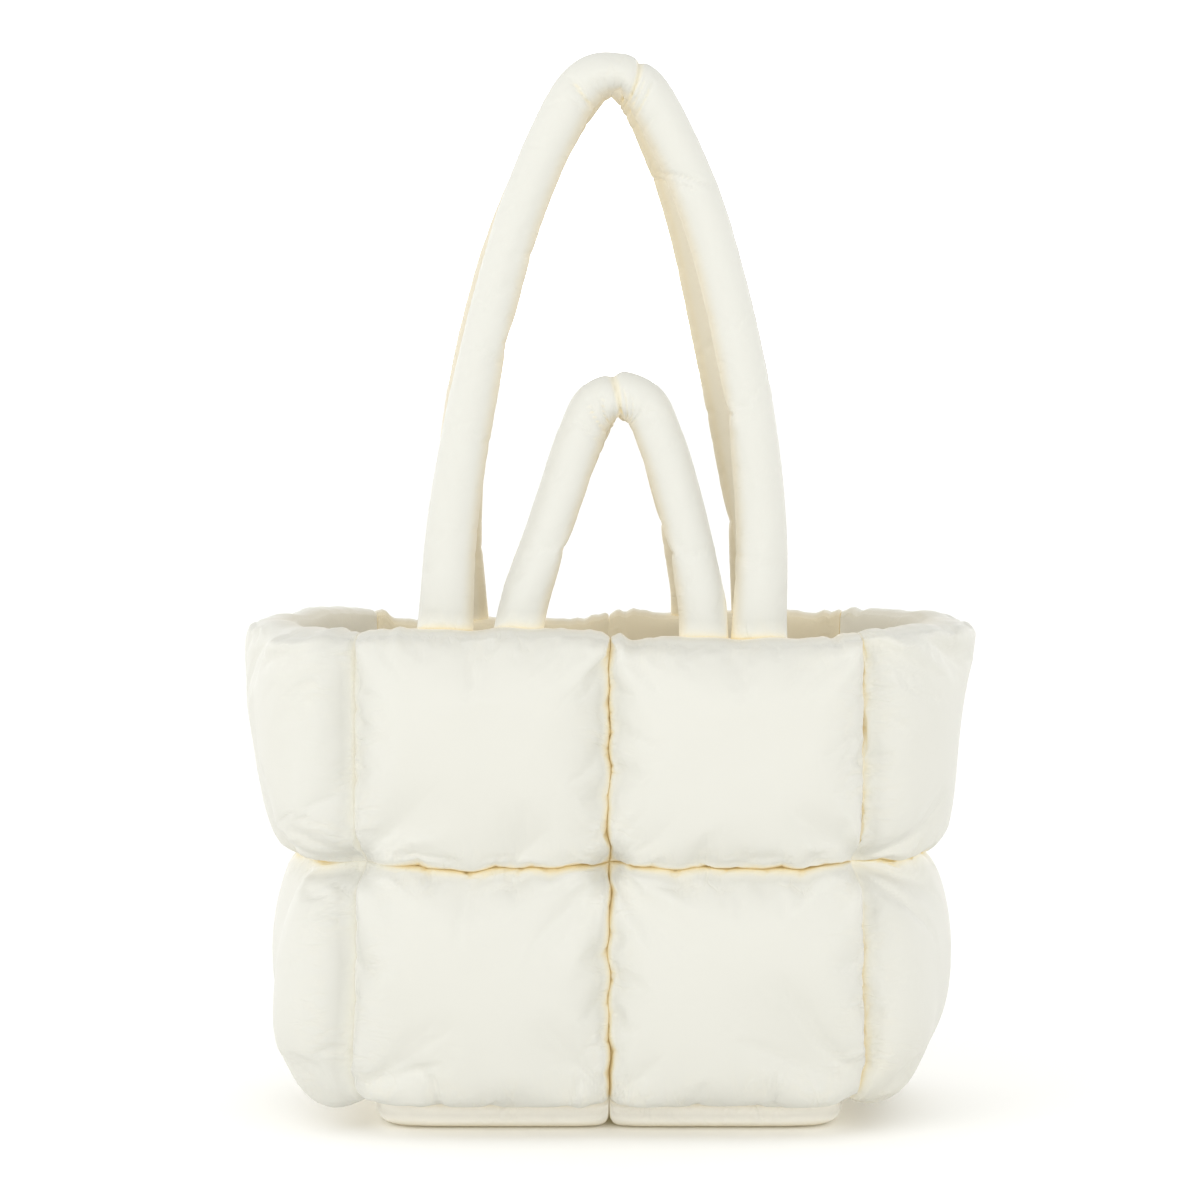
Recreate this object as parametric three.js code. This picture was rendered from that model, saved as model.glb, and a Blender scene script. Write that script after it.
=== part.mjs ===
// A padded shoulder bag that stands open on its base: a front and a back panel of four square
// puffs, two bowed gussets of two puffs, a base of two puffs, and two pairs of padded straps.
// Millimetres, +Z up. The front faces -Y, and the origin is on the floor under the middle.
import * as THREE from "three";

// Heights of the sewn seams and of the folded edge round the mouth, and of the flare where the
// gussets spread out over the base.
const BASE_SEAM_Z = 25;
const FLARE_Z = 60;
const MIDDLE_SEAM_Z = 153;
const RIM_Z = 282;

// Plan of the walls at those heights: half the width and half the depth between the corner
// seams, and how far a gusset bows out between its two corner seams.
const PLAN = [
  { z: BASE_SEAM_Z, halfWidth: 128, halfDepth: 70, bow: 5 },
  { z: FLARE_Z, halfWidth: 131, halfDepth: 71, bow: 23 },
  { z: MIDDLE_SEAM_Z, halfWidth: 135, halfDepth: 73, bow: 42 },
  { z: RIM_Z, halfWidth: 138, halfDepth: 76, bow: 54 },
];

// How far the stuffing swells each row of puffs out of the bag, at its foot and at its head, how
// much more it swells along its side seams, and how far it swells into the bag. A puff rises from
// its seams on a rounded profile, and a higher power is boxier.
const PANEL_SWELL = [
  { row: "lower", foot: 37, head: 37, side: 0, power: 5, inward: 13 },
  { row: "upper", foot: 35, head: 34, side: 0, power: 5, inward: 12 },
];
const LEFT_GUSSET_SWELL = [
  { row: "lower", foot: 38, head: 7, side: 9, power: 2.8, inward: 12 },
  { row: "upper", foot: 15, head: 19, side: 10, power: 3.4, inward: 11 },
];
const RIGHT_GUSSET_SWELL = [
  { row: "lower", foot: 50, head: 13, side: 7, power: 2.8, inward: 12 },
  { row: "upper", foot: 18, head: 21, side: 7, power: 3.4, inward: 11 },
];
// The extra swelling along the side seams is fullest at this distance and fades over this reach.
const SIDE_FULL = 16;
const SIDE_REACH = 20;
// The base is boxy all round. Its ends lean out by a share, within a reach of their seams.
const BASE_SWELL = { out: 28, edgePower: 5, middlePower: 10, endPower: 6, inward: 10 };
const BASE_END_LEAN = 0.15;
const BASE_END_REACH = 14;
const INNER_POWER = 1.3;
// Where the padding is stitched through, only the cloth and flattened stuffing are left.
const SEAM_THICKNESS = 2.4;
// The folded edge of the mouth keeps this share of the swelling, reached over this distance.
const RIM_SHARE = 0.42;
const RIM_REACH = 12;
const RIM_POWER = 2.4;
// Each seam that ends at the mouth pulls a notch into the folded edge.
const NOTCH_DEPTH = 8;
const NOTCH_REACH = 16;
// The edge sags by these amounts in the middle of each puff, from its left as seen from outside.
const FRONT_SAG = [0, 5];
const BACK_SAG = [-1, 3];
const GUSSET_SAG = [0];
const SAG_START = 0.05;
const SAG_FULL = 0.17;
// Puffs lean over a corner seam within this distance of it, and the walls over the base seam.
const LEAN_REACH = 30;
const PANEL_BASE_LEAN = 12;
const GUSSET_BASE_LEAN = 18;
// Sewn pieces lie this far apart.
const GAP = 0.3;

// Soft folds pressed into the puffs of the front panel. Places are shares of a puff, from its
// lower left corner, and depth and width are in millimetres.
const FRONT_FOLDS = [
  { column: 0, row: 0, fromX: 0.02, fromY: 0.02, toX: 0.24, toY: 0.2, depth: 5, width: 7 },
  { column: 0, row: 0, fromX: 0.98, fromY: 0.96, toX: 0.8, toY: 0.8, depth: 4, width: 6 },
  { column: 1, row: 0, fromX: 0.98, fromY: 0.05, toX: 0.66, toY: 0.36, depth: 5, width: 8 },
  { column: 1, row: 0, fromX: 0.02, fromY: 0.96, toX: 0.2, toY: 0.78, depth: 4, width: 6 },
  { column: 0, row: 1, fromX: 0.02, fromY: 0.05, toX: 0.2, toY: 0.24, depth: 4, width: 7 },
  { column: 1, row: 1, fromX: 0.98, fromY: 0.05, toX: 0.78, toY: 0.22, depth: 4, width: 7 },
];
const BACK_FOLDS = [
  { column: 0, row: 0, fromX: 0.02, fromY: 0.04, toX: 0.28, toY: 0.26, depth: 5, width: 8 },
  { column: 1, row: 0, fromX: 0.98, fromY: 0.95, toX: 0.76, toY: 0.74, depth: 4, width: 7 },
];
const GUSSET_FOLDS = [
  { column: 0, row: 0, fromX: 0.06, fromY: 0.98, toX: 0.3, toY: 0.8, depth: 4, width: 7 },
  { column: 0, row: 1, fromX: 0.05, fromY: 0.02, toX: 0.28, toY: 0.24, depth: 4, width: 7 },
];

// Arches of the straps, from the folded edge to the top: rise above the edge, and half the span
// between the two legs at that rise.
const LONG_ARCH = [
  { rise: 0, halfSpan: 88 },
  { rise: 60, halfSpan: 86 },
  { rise: 120, halfSpan: 78 },
  { rise: 180, halfSpan: 65.5 },
  { rise: 232, halfSpan: 51 },
  { rise: 273, halfSpan: 34.5 },
  { rise: 300, halfSpan: 19.5 },
  { rise: 308.5, halfSpan: 10 },
  { rise: 310.5, halfSpan: 0 },
];
const SHORT_ARCH = [
  { rise: 0, halfSpan: 52 },
  { rise: 18, halfSpan: 49.5 },
  { rise: 45, halfSpan: 42 },
  { rise: 78, halfSpan: 32.5 },
  { rise: 107, halfSpan: 23 },
  { rise: 126, halfSpan: 13 },
  { rise: 130, halfSpan: 0 },
];

// Padded tubes of the straps: width across the arch and depth front to back. The foot is sewn
// flat, the leg narrows upwards over the taper's length, and the top is a little slimmer.
const LONG_TUBE = {
  footWidth: 32, legWidth: 30.5, width: 26.5, topWidth: 24, footDepth: 10, depth: 27, taper: 210, rings: 42,
};
const SHORT_TUBE = {
  footWidth: 28, legWidth: 27, width: 26, topWidth: 32, footDepth: 10, depth: 25, taper: 90, rings: 28,
};
const FOOT_REACH = 34;
const TOP_REACH = 30;
// Rings of a tube lie closer together towards the top of the arch.
const RING_CROWDING = 1.5;
// Steps in which the length of a strap is measured.
const LENGTH_STEPS = 400;

// Creases where a strap folds over its top: distance along it from the top, how much of the
// width they take on the inside of the bend, and their reach along the strap.
const LONG_CREASES = [
  { along: -25, depth: 0.16, reach: 6 },
  { along: 17, depth: 0.22, reach: 5 },
  { along: 31, depth: 0.12, reach: 5 },
];
const SHORT_CREASES = [
  { along: -24, depth: 0.14, reach: 6 },
  { along: 2, depth: 0.12, reach: 5 },
];

const LONG = { arch: LONG_ARCH, tube: LONG_TUBE, creases: LONG_CREASES };
const HANDLE = { arch: SHORT_ARCH, tube: SHORT_TUBE, creases: SHORT_CREASES };

const FRONT_LONG = { wall: "front", footShift: -4, topShift: 1, sway: 3 };
const BACK_LONG = { wall: "back", footShift: 1, topShift: 1, sway: -7.2 };
const FRONT_HANDLE = { wall: "front", footShift: 1, topShift: 6, sway: 2 };
const BACK_HANDLE = { wall: "back", footShift: -1, topShift: 9, sway: 0 };

// Each strap: the wall that carries it, how far its feet and its top stand to the right of the
// middle as seen from the front, how far its legs sway to the right between them, how far its top
// leans in over the mouth, and how much higher or lower than the arch it ends.
const STRAPS = [
  { name: "long_strap_front", ...LONG, ...FRONT_LONG, leanIn: 4, raise: 0 },
  { name: "long_strap_back", ...LONG, ...BACK_LONG, leanIn: 4, raise: 1 },
  { name: "short_handle_front", ...HANDLE, ...FRONT_HANDLE, leanIn: 3, raise: 0 },
  { name: "short_handle_back", ...HANDLE, ...BACK_HANDLE, leanIn: 3, raise: -5 },
];

// Facets of each puff across and up, and of each tube round its section.
const PUFF_CELLS = 12;
const TUBE_SIDES = 10;

const CLOTH = { colour: 0xf1f0e6, roughness: 0.62 };
const STRAP_CLOTH = { colour: 0xf3f3ea, roughness: 0.62 };

const FRONTWARD = new THREE.Vector3(0, -1, 0);
const BACKWARD = new THREE.Vector3(0, 1, 0);
const DOWNWARD = new THREE.Vector3(0, 0, -1);

// The plan at height z, on a smooth curve through its rows, with the arc of the gusset.
function planAt(z) {
  const read = (column) =>
    PLAN.reduce((sum, row) => {
      const others = PLAN.filter((other) => other !== row);
      const weight = others.reduce((w, other) => (w * (z - other.z)) / (row.z - other.z), 1);
      return sum + weight * row[column];
    }, 0);
  const halfWidth = read("halfWidth");
  const halfDepth = read("halfDepth");
  const bow = read("bow");
  const radius = (halfDepth ** 2 + bow ** 2) / (2 * bow);
  const halfAngle = Math.asin(halfDepth / radius);
  return { halfWidth, halfDepth, bow, radius, halfAngle, arcCentre: halfWidth + bow - radius };
}

// Rises from 0 at an edge to 1 at the full distance, on a rounded shoulder.
function shoulder(share, power) {
  return share >= 1 ? 1 : (1 - (1 - Math.max(share, 0)) ** power) ** (1 / power);
}

// Profile of a puff between two sewn seams.
function betweenSeams(share, power) {
  return shoulder(2 * share, power) * shoulder(2 * (1 - share), power);
}

// Profile of a puff from a sewn seam up to the folded edge of the mouth.
function underRim(share, height, power) {
  const rim = shoulder(((1 - share) * height) / RIM_REACH, RIM_POWER);
  return shoulder(2 * share, power) * (RIM_SHARE + (1 - RIM_SHARE) * rim);
}

// Height of the folded edge above a place across one puff.
function rimHeight(share, puffWidth, sag) {
  const toSeam = Math.min(share, 1 - share);
  const notch = NOTCH_DEPTH * (1 - shoulder((toSeam * puffWidth) / NOTCH_REACH, 2));
  return RIM_Z - sag * THREE.MathUtils.smoothstep(toSeam, SAG_START, SAG_FULL) - notch;
}

// Depth of the soft folds at a place on one puff.
function foldDepth(folds, column, row, place, puffSize) {
  return folds
    .filter((fold) => fold.column === column && fold.row === row)
    .reduce((depth, fold) => {
      const from = new THREE.Vector2(fold.fromX, fold.fromY).multiply(puffSize);
      const along = new THREE.Vector2(fold.toX, fold.toY).multiply(puffSize).sub(from);
      const offset = place.clone().multiply(puffSize).sub(from);
      const share = THREE.MathUtils.clamp(offset.dot(along) / along.lengthSq(), 0, 1);
      const distance = offset.addScaledVector(along, -share).length();
      const fade = 1 - share * share;
      return depth + fold.depth * fade * Math.exp(-((distance / fold.width) ** 2));
    }, 0);
}

// Pull of a neighbouring face on the direction in which padding swells near their seam.
function lean(distance, reach = LEAN_REACH) {
  return Math.max(0, 1 - distance / reach) ** 2;
}

// Places across a run of puffs, closer together beside the seams.
function puffStations(puffs) {
  const stations = [];
  for (let puff = 0; puff < puffs; puff += 1) {
    for (let cell = 0; cell < PUFF_CELLS; cell += 1) {
      const share = (1 - Math.cos((Math.PI * cell) / PUFF_CELLS)) / 2;
      stations.push({ puff, share });
    }
  }
  stations.push({ puff: puffs - 1, share: 1 });
  return stations;
}

function geometryOf(points, triangles) {
  const geometry = new THREE.BufferGeometry().setFromPoints(points);
  geometry.setIndex(triangles);
  geometry.computeVertexNormals();
  return geometry;
}

// A closed body between an outer and an inner sheet of points, in rows from the bottom up.
function closedShell(outer, inner) {
  const rows = outer.length;
  const columns = outer[0].length;
  const triangles = [];
  const quad = (a, b, c, d) => triangles.push(a, b, c, a, c, d);
  const out = (row, column) => row * columns + column;
  const inn = (row, column) => rows * columns + row * columns + column;
  for (let row = 0; row + 1 < rows; row += 1) {
    for (let column = 0; column + 1 < columns; column += 1) {
      quad(out(row, column), out(row, column + 1), out(row + 1, column + 1), out(row + 1, column));
      quad(inn(row, column), inn(row + 1, column), inn(row + 1, column + 1), inn(row, column + 1));
    }
  }
  const top = rows - 1;
  const last = columns - 1;
  for (let column = 0; column < last; column += 1) {
    quad(out(0, column + 1), out(0, column), inn(0, column), inn(0, column + 1));
    quad(out(top, column), out(top, column + 1), inn(top, column + 1), inn(top, column));
  }
  for (let row = 0; row < top; row += 1) {
    quad(out(row, 0), out(row + 1, 0), inn(row + 1, 0), inn(row, 0));
    quad(out(row + 1, last), out(row, last), inn(row, last), inn(row + 1, last));
  }
  return geometryOf([...outer.flat(), ...inner.flat()], triangles);
}

// A quilted wall: rows of puffs from the base seam to the mouth, on the surface that place()
// gives, swelling along the direction that facing() gives.
function quiltedWall({ puffs, puffWidth, place, facing, swell, sag, folds }) {
  const columns = puffStations(puffs);
  const rows = puffStations(swell.length);
  const outer = [];
  const inner = [];
  for (const { puff: row, share: up } of rows) {
    const outerRow = [];
    const innerRow = [];
    for (const { puff: column, share: across } of columns) {
      const upper = row === 1;
      const from = upper ? MIDDLE_SEAM_Z : BASE_SEAM_Z + GAP / 2;
      const to = upper ? rimHeight(across, puffWidth, sag[column]) : MIDDLE_SEAM_Z;
      const z = THREE.MathUtils.lerp(from, to, up);
      const height = to - from;
      const lift = (power) =>
        betweenSeams(across, power) *
        (upper ? underRim(up, height, power) : betweenSeams(up, power));
      const puffSize = new THREE.Vector2(puffWidth, height);
      const fold = foldDepth(folds, column, row, new THREE.Vector2(across, up), puffSize);
      const shellLift = lift(swell[row].power);
      const toSide = Math.min(across, 1 - across) * puffWidth;
      const beside = swell[row].side * Math.exp(-(((toSide - SIDE_FULL) / SIDE_REACH) ** 2));
      const swollen = THREE.MathUtils.lerp(swell[row].foot, swell[row].head, up) + beside;
      const out = SEAM_THICKNESS / 2 + Math.max(0, swollen - fold) * shellLift;
      const inward = SEAM_THICKNESS / 2 + swell[row].inward * lift(INNER_POWER);
      const share = (column + across) / puffs;
      const middle = place(share, z);
      const direction = facing(share, z);
      outerRow.push(middle.clone().addScaledVector(direction, out));
      innerRow.push(middle.clone().addScaledVector(direction, -inward));
    }
    outer.push(outerRow);
    inner.push(innerRow);
  }
  return closedShell(outer, inner);
}

// Outward direction of a gusset's arc, on the right of the bag.
function gussetFacing(angle) {
  return new THREE.Vector3(Math.cos(angle), Math.sin(angle), 0);
}

function mirroredInX(vector) {
  return new THREE.Vector3(-vector.x, vector.y, vector.z);
}

function panelGeometry(sag, folds) {
  const place = (share, z) => {
    const plan = planAt(z);
    return new THREE.Vector3((plan.halfWidth - GAP / 2) * (2 * share - 1), -plan.halfDepth, z);
  };
  const facing = (share, z) => {
    const plan = planAt(z);
    const beside = gussetFacing(-plan.halfAngle);
    return FRONTWARD.clone()
      .addScaledVector(mirroredInX(beside), lean(2 * plan.halfWidth * share))
      .addScaledVector(beside, lean(2 * plan.halfWidth * (1 - share)))
      .addScaledVector(DOWNWARD, lean(z - BASE_SEAM_Z, PANEL_BASE_LEAN))
      .normalize();
  };
  const puffWidth = planAt(MIDDLE_SEAM_Z).halfWidth;
  return quiltedWall({ puffs: 2, puffWidth, place, facing, swell: PANEL_SWELL, sag, folds });
}

// A gusset, drawn on the right of the bag from the front corner seam to the back one.
function gussetGeometry(swell) {
  const angleAt = (plan, share) => (plan.halfAngle - GAP / 2 / plan.radius) * (2 * share - 1);
  const place = (share, z) => {
    const plan = planAt(z);
    const point = gussetFacing(angleAt(plan, share)).multiplyScalar(plan.radius);
    return point.add(new THREE.Vector3(plan.arcCentre, 0, z));
  };
  const facing = (share, z) => {
    const plan = planAt(z);
    const arcLength = 2 * plan.radius * plan.halfAngle;
    return gussetFacing(angleAt(plan, share))
      .addScaledVector(FRONTWARD, lean(arcLength * share))
      .addScaledVector(BACKWARD, lean(arcLength * (1 - share)))
      .addScaledVector(DOWNWARD, lean(z - BASE_SEAM_Z, GUSSET_BASE_LEAN))
      .normalize();
  };
  const plan = planAt(MIDDLE_SEAM_Z);
  return quiltedWall({
    puffs: 1,
    puffWidth: 2 * plan.radius * plan.halfAngle,
    place,
    facing,
    swell,
    sag: GUSSET_SAG,
    folds: GUSSET_FOLDS,
  });
}

// The base: two puffs side by side under the walls, pressed flat on the floor.
function baseGeometry() {
  const plan = planAt(BASE_SEAM_Z);
  const endLean = (distance) => BASE_END_LEAN * lean(distance, BASE_END_REACH);
  const outer = [];
  const inner = [];
  for (const { share: forward } of puffStations(1)) {
    const angle = plan.halfAngle * (1 - 2 * forward);
    const y = (1 - GAP / 2 / plan.halfDepth) * plan.radius * Math.sin(angle);
    const halfWidth = plan.arcCentre + plan.radius * Math.cos(angle) - GAP / 2;
    const beside = gussetFacing(angle);
    const outerRow = [];
    const innerRow = [];
    for (const { puff, share: across } of puffStations(2)) {
      const share = (puff + across) / 2;
      const { edgePower, middlePower, endPower } = BASE_SWELL;
      const fromEnd = puff === 0 ? across : 1 - across;
      const shellLift =
        shoulder(2 * fromEnd, endPower) *
        shoulder(2 * (1 - fromEnd), middlePower) *
        betweenSeams(forward, edgePower);
      const liningLift = betweenSeams(across, INNER_POWER) * betweenSeams(forward, INNER_POWER);
      const facing = (pull) =>
        DOWNWARD.clone()
          .addScaledVector(BACKWARD, lean(plan.halfDepth - y))
          .addScaledVector(FRONTWARD, lean(plan.halfDepth + y))
          .addScaledVector(mirroredInX(beside), pull(2 * halfWidth * share))
          .addScaledVector(beside, pull(2 * halfWidth * (1 - share)))
          .normalize();
      const middle = new THREE.Vector3(halfWidth * (2 * share - 1), y, BASE_SEAM_Z);
      const out = SEAM_THICKNESS / 2 + BASE_SWELL.out * shellLift;
      const inward = SEAM_THICKNESS / 2 + BASE_SWELL.inward * liningLift;
      const under = middle.clone().addScaledVector(facing(endLean), out);
      under.z = Math.max(0, under.z);
      outerRow.push(under);
      innerRow.push(middle.clone().addScaledVector(facing(lean), -inward));
    }
    outer.push(outerRow);
    inner.push(innerRow);
  }
  return closedShell(outer, inner);
}

// A closed tube through rings of points, with a flat end on each side.
function closedTube(rings) {
  const sides = rings[0].length;
  const triangles = [];
  for (let ring = 0; ring + 1 < rings.length; ring += 1) {
    for (let side = 0; side < sides; side += 1) {
      const next = (side + 1) % sides;
      const a = ring * sides + side;
      const b = ring * sides + next;
      triangles.push(a, b + sides, b, a, a + sides, b + sides);
    }
  }
  const end = (rings.length - 1) * sides;
  for (let side = 1; side + 1 < sides; side += 1) {
    triangles.push(0, side, side + 1);
    triangles.push(end, end + side + 1, end + side);
  }
  return geometryOf(rings.flat(), triangles);
}

// The line along the middle of a strap, from its left foot over the top to its right foot.
function strapLine({ wall, arch, footShift, topShift, sway, leanIn, raise }) {
  const sag = wall === "front" ? FRONT_SAG : [...BACK_SAG].reverse();
  const outward = wall === "front" ? -1 : 1;
  const footDepth = planAt(RIM_Z).halfDepth;
  const top = arch[arch.length - 1].rise;
  const pointAt = (side, { rise, halfSpan }) => {
    const climb = rise / top;
    const drop = (1 - climb) * sag[side < 0 ? 0 : 1];
    const shift = THREE.MathUtils.lerp(footShift, topShift, climb) + sway * Math.sin(Math.PI * climb);
    const x = side * halfSpan + shift;
    const y = outward * (footDepth - leanIn * climb);
    return new THREE.Vector3(x, y, RIM_Z + GAP + rise + raise * climb - drop);
  };
  const left = arch.map((row) => pointAt(-1, row));
  const right = arch.slice(0, -1).map((row) => pointAt(1, row));
  return new THREE.CatmullRomCurve3([...left, ...right.reverse()], false, "centripetal");
}

function strapGeometry(strap) {
  const { tube, creases } = strap;
  const line = strapLine(strap);
  line.arcLengthDivisions = LENGTH_STEPS;
  const length = line.getLength();
  const side = new THREE.Vector3(0, -1, 0);
  const rings = [];
  for (let ring = 0; ring <= tube.rings; ring += 1) {
    const spread = (2 * ring) / tube.rings - 1;
    const along = (Math.sign(spread) * Math.abs(spread) ** RING_CROWDING * length) / 2;
    const share = THREE.MathUtils.clamp(0.5 + along / length, 0, 1);
    const centre = line.getPointAt(share);
    const tangent = line.getTangentAt(share);
    const toFoot = length / 2 - Math.abs(along);
    if (ring === 0) tangent.set(0, 0, 1);
    if (ring === tube.rings) tangent.set(0, 0, -1);
    const inside = tangent.clone().cross(side).normalize();
    const filled = shoulder(toFoot / FOOT_REACH, 2);
    const folded = Math.max(0, 1 - Math.abs(along) / TOP_REACH) ** 2;
    const tapered = Math.min(1, toFoot / tube.taper);
    const legWidth = THREE.MathUtils.lerp(tube.legWidth, tube.width, tapered);
    const filledWidth = THREE.MathUtils.lerp(tube.footWidth, legWidth, filled);
    const width = THREE.MathUtils.lerp(filledWidth, tube.topWidth, folded);
    const depth = THREE.MathUtils.lerp(tube.footDepth, tube.depth, filled);
    const crease = creases.reduce(
      (sum, row) => sum + row.depth * Math.exp(-(((along - row.along) / row.reach) ** 2)), 0);
    const points = [];
    for (let turn = 0; turn < TUBE_SIDES; turn += 1) {
      const angle = (2 * Math.PI * turn) / TUBE_SIDES;
      const inwards = Math.cos(angle);
      const reach = (width / 2) * inwards * (inwards > 0 ? 1 - 2 * crease : 1);
      const point = centre.clone().addScaledVector(inside, reach);
      points.push(point.addScaledVector(side, (depth / 2) * Math.sin(angle)));
    }
    rings.push(points);
  }
  return closedTube(rings);
}

const bag = new THREE.Group();

// Adds one sewn piece with a cloth of its own, turned about the upright axis.
function addPiece(name, geometry, cloth, turn = 0) {
  const material = new THREE.MeshStandardMaterial({
    color: cloth.colour,
    roughness: cloth.roughness,
    metalness: 0,
  });
  const piece = new THREE.Mesh(geometry, material);
  piece.name = name;
  piece.rotation.z = turn;
  bag.add(piece);
}

addPiece("front_panel", panelGeometry(FRONT_SAG, FRONT_FOLDS), CLOTH);
addPiece("back_panel", panelGeometry(BACK_SAG, BACK_FOLDS), CLOTH, Math.PI);
addPiece("right_gusset", gussetGeometry(RIGHT_GUSSET_SWELL), CLOTH);
addPiece("left_gusset", gussetGeometry(LEFT_GUSSET_SWELL), CLOTH, Math.PI);
addPiece("base_panel", baseGeometry(), CLOTH);
for (const strap of STRAPS) {
  addPiece(strap.name, strapGeometry(strap), STRAP_CLOTH);
}

export default bag;
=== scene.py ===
"""Padded shoulder bag: quilted cream walls, a padded base and two pairs of stuffed straps."""
import math
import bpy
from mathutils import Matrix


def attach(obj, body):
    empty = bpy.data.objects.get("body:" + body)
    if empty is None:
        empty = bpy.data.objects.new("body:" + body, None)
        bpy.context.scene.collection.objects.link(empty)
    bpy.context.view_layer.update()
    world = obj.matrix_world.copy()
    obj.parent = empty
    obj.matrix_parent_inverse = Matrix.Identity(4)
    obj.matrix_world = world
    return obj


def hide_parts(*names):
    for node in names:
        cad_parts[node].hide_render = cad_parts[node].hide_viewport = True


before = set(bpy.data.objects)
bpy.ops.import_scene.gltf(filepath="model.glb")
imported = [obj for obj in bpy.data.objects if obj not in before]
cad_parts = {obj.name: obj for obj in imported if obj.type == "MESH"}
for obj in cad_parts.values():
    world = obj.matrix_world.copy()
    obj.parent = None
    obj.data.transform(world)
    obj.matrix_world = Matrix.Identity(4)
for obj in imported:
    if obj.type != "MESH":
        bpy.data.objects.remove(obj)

from types import SimpleNamespace

import bpy
import numpy as np
from mathutils import Vector

bl_info = {
    "name": "Padded Shoulder Bag",
    "version": (1, 0, 0),
    "blender": (4, 5, 0),
    "location": "View3D > Sidebar > Bag",
    "description": "Builds a quilted shoulder bag with stuffed straps on its studio floor",
    "category": "Object",
}

MM = 0.001

# Sizes of the pieces are in millimetres, with +Z up and the front facing -Y.
# Heights of the sewn seams and of the folded edge round the mouth.
BASE_SEAM_Z = 25
MIDDLE_SEAM_Z = 153
RIM_Z = 282
PUFF_HEIGHT = RIM_Z - MIDDLE_SEAM_Z
# Widths of a puff of the panels and of a gusset.
PANEL_PUFF, GUSSET_PUFF = 135, 176
# Plan of the walls: height, half width, half depth and how far a gusset bows out.
PLAN = np.array([
    (BASE_SEAM_Z, 128, 70, 5),
    (60, 131, 71, 23),
    (MIDDLE_SEAM_Z, 135, 73, 42),
    (RIM_Z, 138, 76, 54),
], float)
# Swelling of the lower and the upper puffs: outwards at their foot and at their head, more of it
# along their side seams, power of its profile, and into the bag.
PANEL_SWELL = ((37, 37, 0, 2.6, 13), (35, 34, 0, 2.6, 12))
LEFT_SWELL = ((33, 5, 34, 2.9, 12), (14, 16, 36, 4, 11))
RIGHT_SWELL = ((46, 10, 9, 2.9, 12), (16, 18, 11, 4, 11))
# Where the swelling along the side seams is full, and how far it reaches from there.
SIDE_FULL, SIDE_REACH = 14, 20
# The profile across a puff is this much squarer than the profile up it.
SQUARER = 2
# The panels' puffs have rounded edges, a share of their width and its power, and domed faces.
EDGE_SHARE, EDGE_POWER, DOME = 0.036, 2.4, 0.08
# Swelling of the base: outwards, powers of its profile at each kind of seam, and into the bag.
BASE_SWELL = {"out": 28, "edge": 5, "middle": 10, "end": 6, "inward": 10}
BASE_END_LEAN, BASE_END_REACH = 0.15, 14
LINING_POWER = 1.3
SEAM_THICKNESS = 2.4
GAP = 0.3
# Puffs narrow to a share of their swell at the folded edge, over a reach and by a power.
RIM_SHARE, RIM_REACH, RIM_POWER = 0.6, 8, 2.4
# The folded edge dips where a seam meets it, at the corners and at the middle of a panel.
CORNER_NOTCH, MIDDLE_NOTCH, NOTCH_REACH, NOTCH_POWER = 3, 6, 16, 2
# Shares of a puff's width from its seam over which the sag of the folded edge grows.
SAG_START, SAG_FULL = 0, 0.1
# Sags of the folded edge, for each puff of the front panel and of the back panel.
FRONT_SAG, BACK_SAG = (0, 5), (2.5, 6.5)
LEAN_REACH, PANEL_BASE_LEAN, GUSSET_BASE_LEAN = 30, 12, 18
# Shares of the lean over the base seam that the outside of the panels and of the gussets keeps.
PANEL_DROP, GUSSET_DROP = 0.45, 1
# Each corner of a puff is drawn in, by this share at the middle seam and at the base seam.
PINCH, BASE_PINCH, PINCH_REACH = 0.7, 0.15, 8
# Seams wander: how far, over which lengths, and how far the cloth beside them follows.
SEAM_WANDER, SEAM_LENGTHS, SEAM_REACH = 0.9, (97, 61, 37, 23), 16
# An upright seam wanders fully from this height above the base seam.
SEAM_FREE = 15
# The middle seam hangs this much lower between its ends.
SEAM_SLACK = 2.2
RIM_WANDER, RIM_LENGTHS = 0.8, (83, 47, 29)
# Small pleats in the folded edge beside its notches: height, lengths and reach.
PLEAT_RISE, PLEAT_LENGTHS, PLEAT_REACH = 0.9, (15, 11, 8), 24
# Gathers that radiate from each corner of a puff: how many, and ranges of length, depth, width
# and turn, as a share of the angle between two gathers.
GATHERS, GATHER_LENGTH, GATHER_DEPTH, GATHER_WIDTH = 5, (9, 32), (2.0, 6.0), (1.5, 3.2)
GATHER_TURN = (0.1, 0.9)
# Powers of the profiles across soft folds and across creases.
SOFT_FOLD, SHARP_FOLD = 2, 1.2
# Creases of these depths are held down, from not at all to fully, while the cloth swells.
HELD_CREASE = (1.2, 3.0)
# The cloth is gathered fast this close to the corners of the puffs.
KNOT_REACH = 7
# The most that stuffing moves the cloth of the walls and of the straps.
WALL_SHIFT, STRAP_SHIFT = 12, 3
# Spare cloth along the seams and round the corners of the puffs: share and reach.
SEAM_SPARE, CORNER_SPARE = (0.6, 20), (0.4, 40)
# Rows of the rounded fold at the mouth, and its rise above the walls, with its share of the wall.
FOLD_ROWS, FOLD_RISE, FOLD_SHARE = 5, 2.5, 1 / 3
# Cells of the cloth: across a puff of the panels and of the gussets, up a puff, and of the base.
PANEL_CELLS, GUSSET_CELLS, CELLS_UP, BASE_CELLS = 96, 112, 88, 48
PROFILE_SAMPLES, LEAST_CELL = 2001, 0.15

# How fast the painted shade of the seams fades up the sides of the puffs, and the straps' share of it.
CREASE_SHADE_FALL, STRAP_CREASE_SHADE = 4.5, 0.25
# Distances over which the painted shade beside the seams fades at the corners of the bag, and how much of
# that fading the corners away from the light have; the corners towards the light are painted lighter.
CORNER_SHADE_FADE, FAR_CORNER = (8, 26), 0.25
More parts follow.
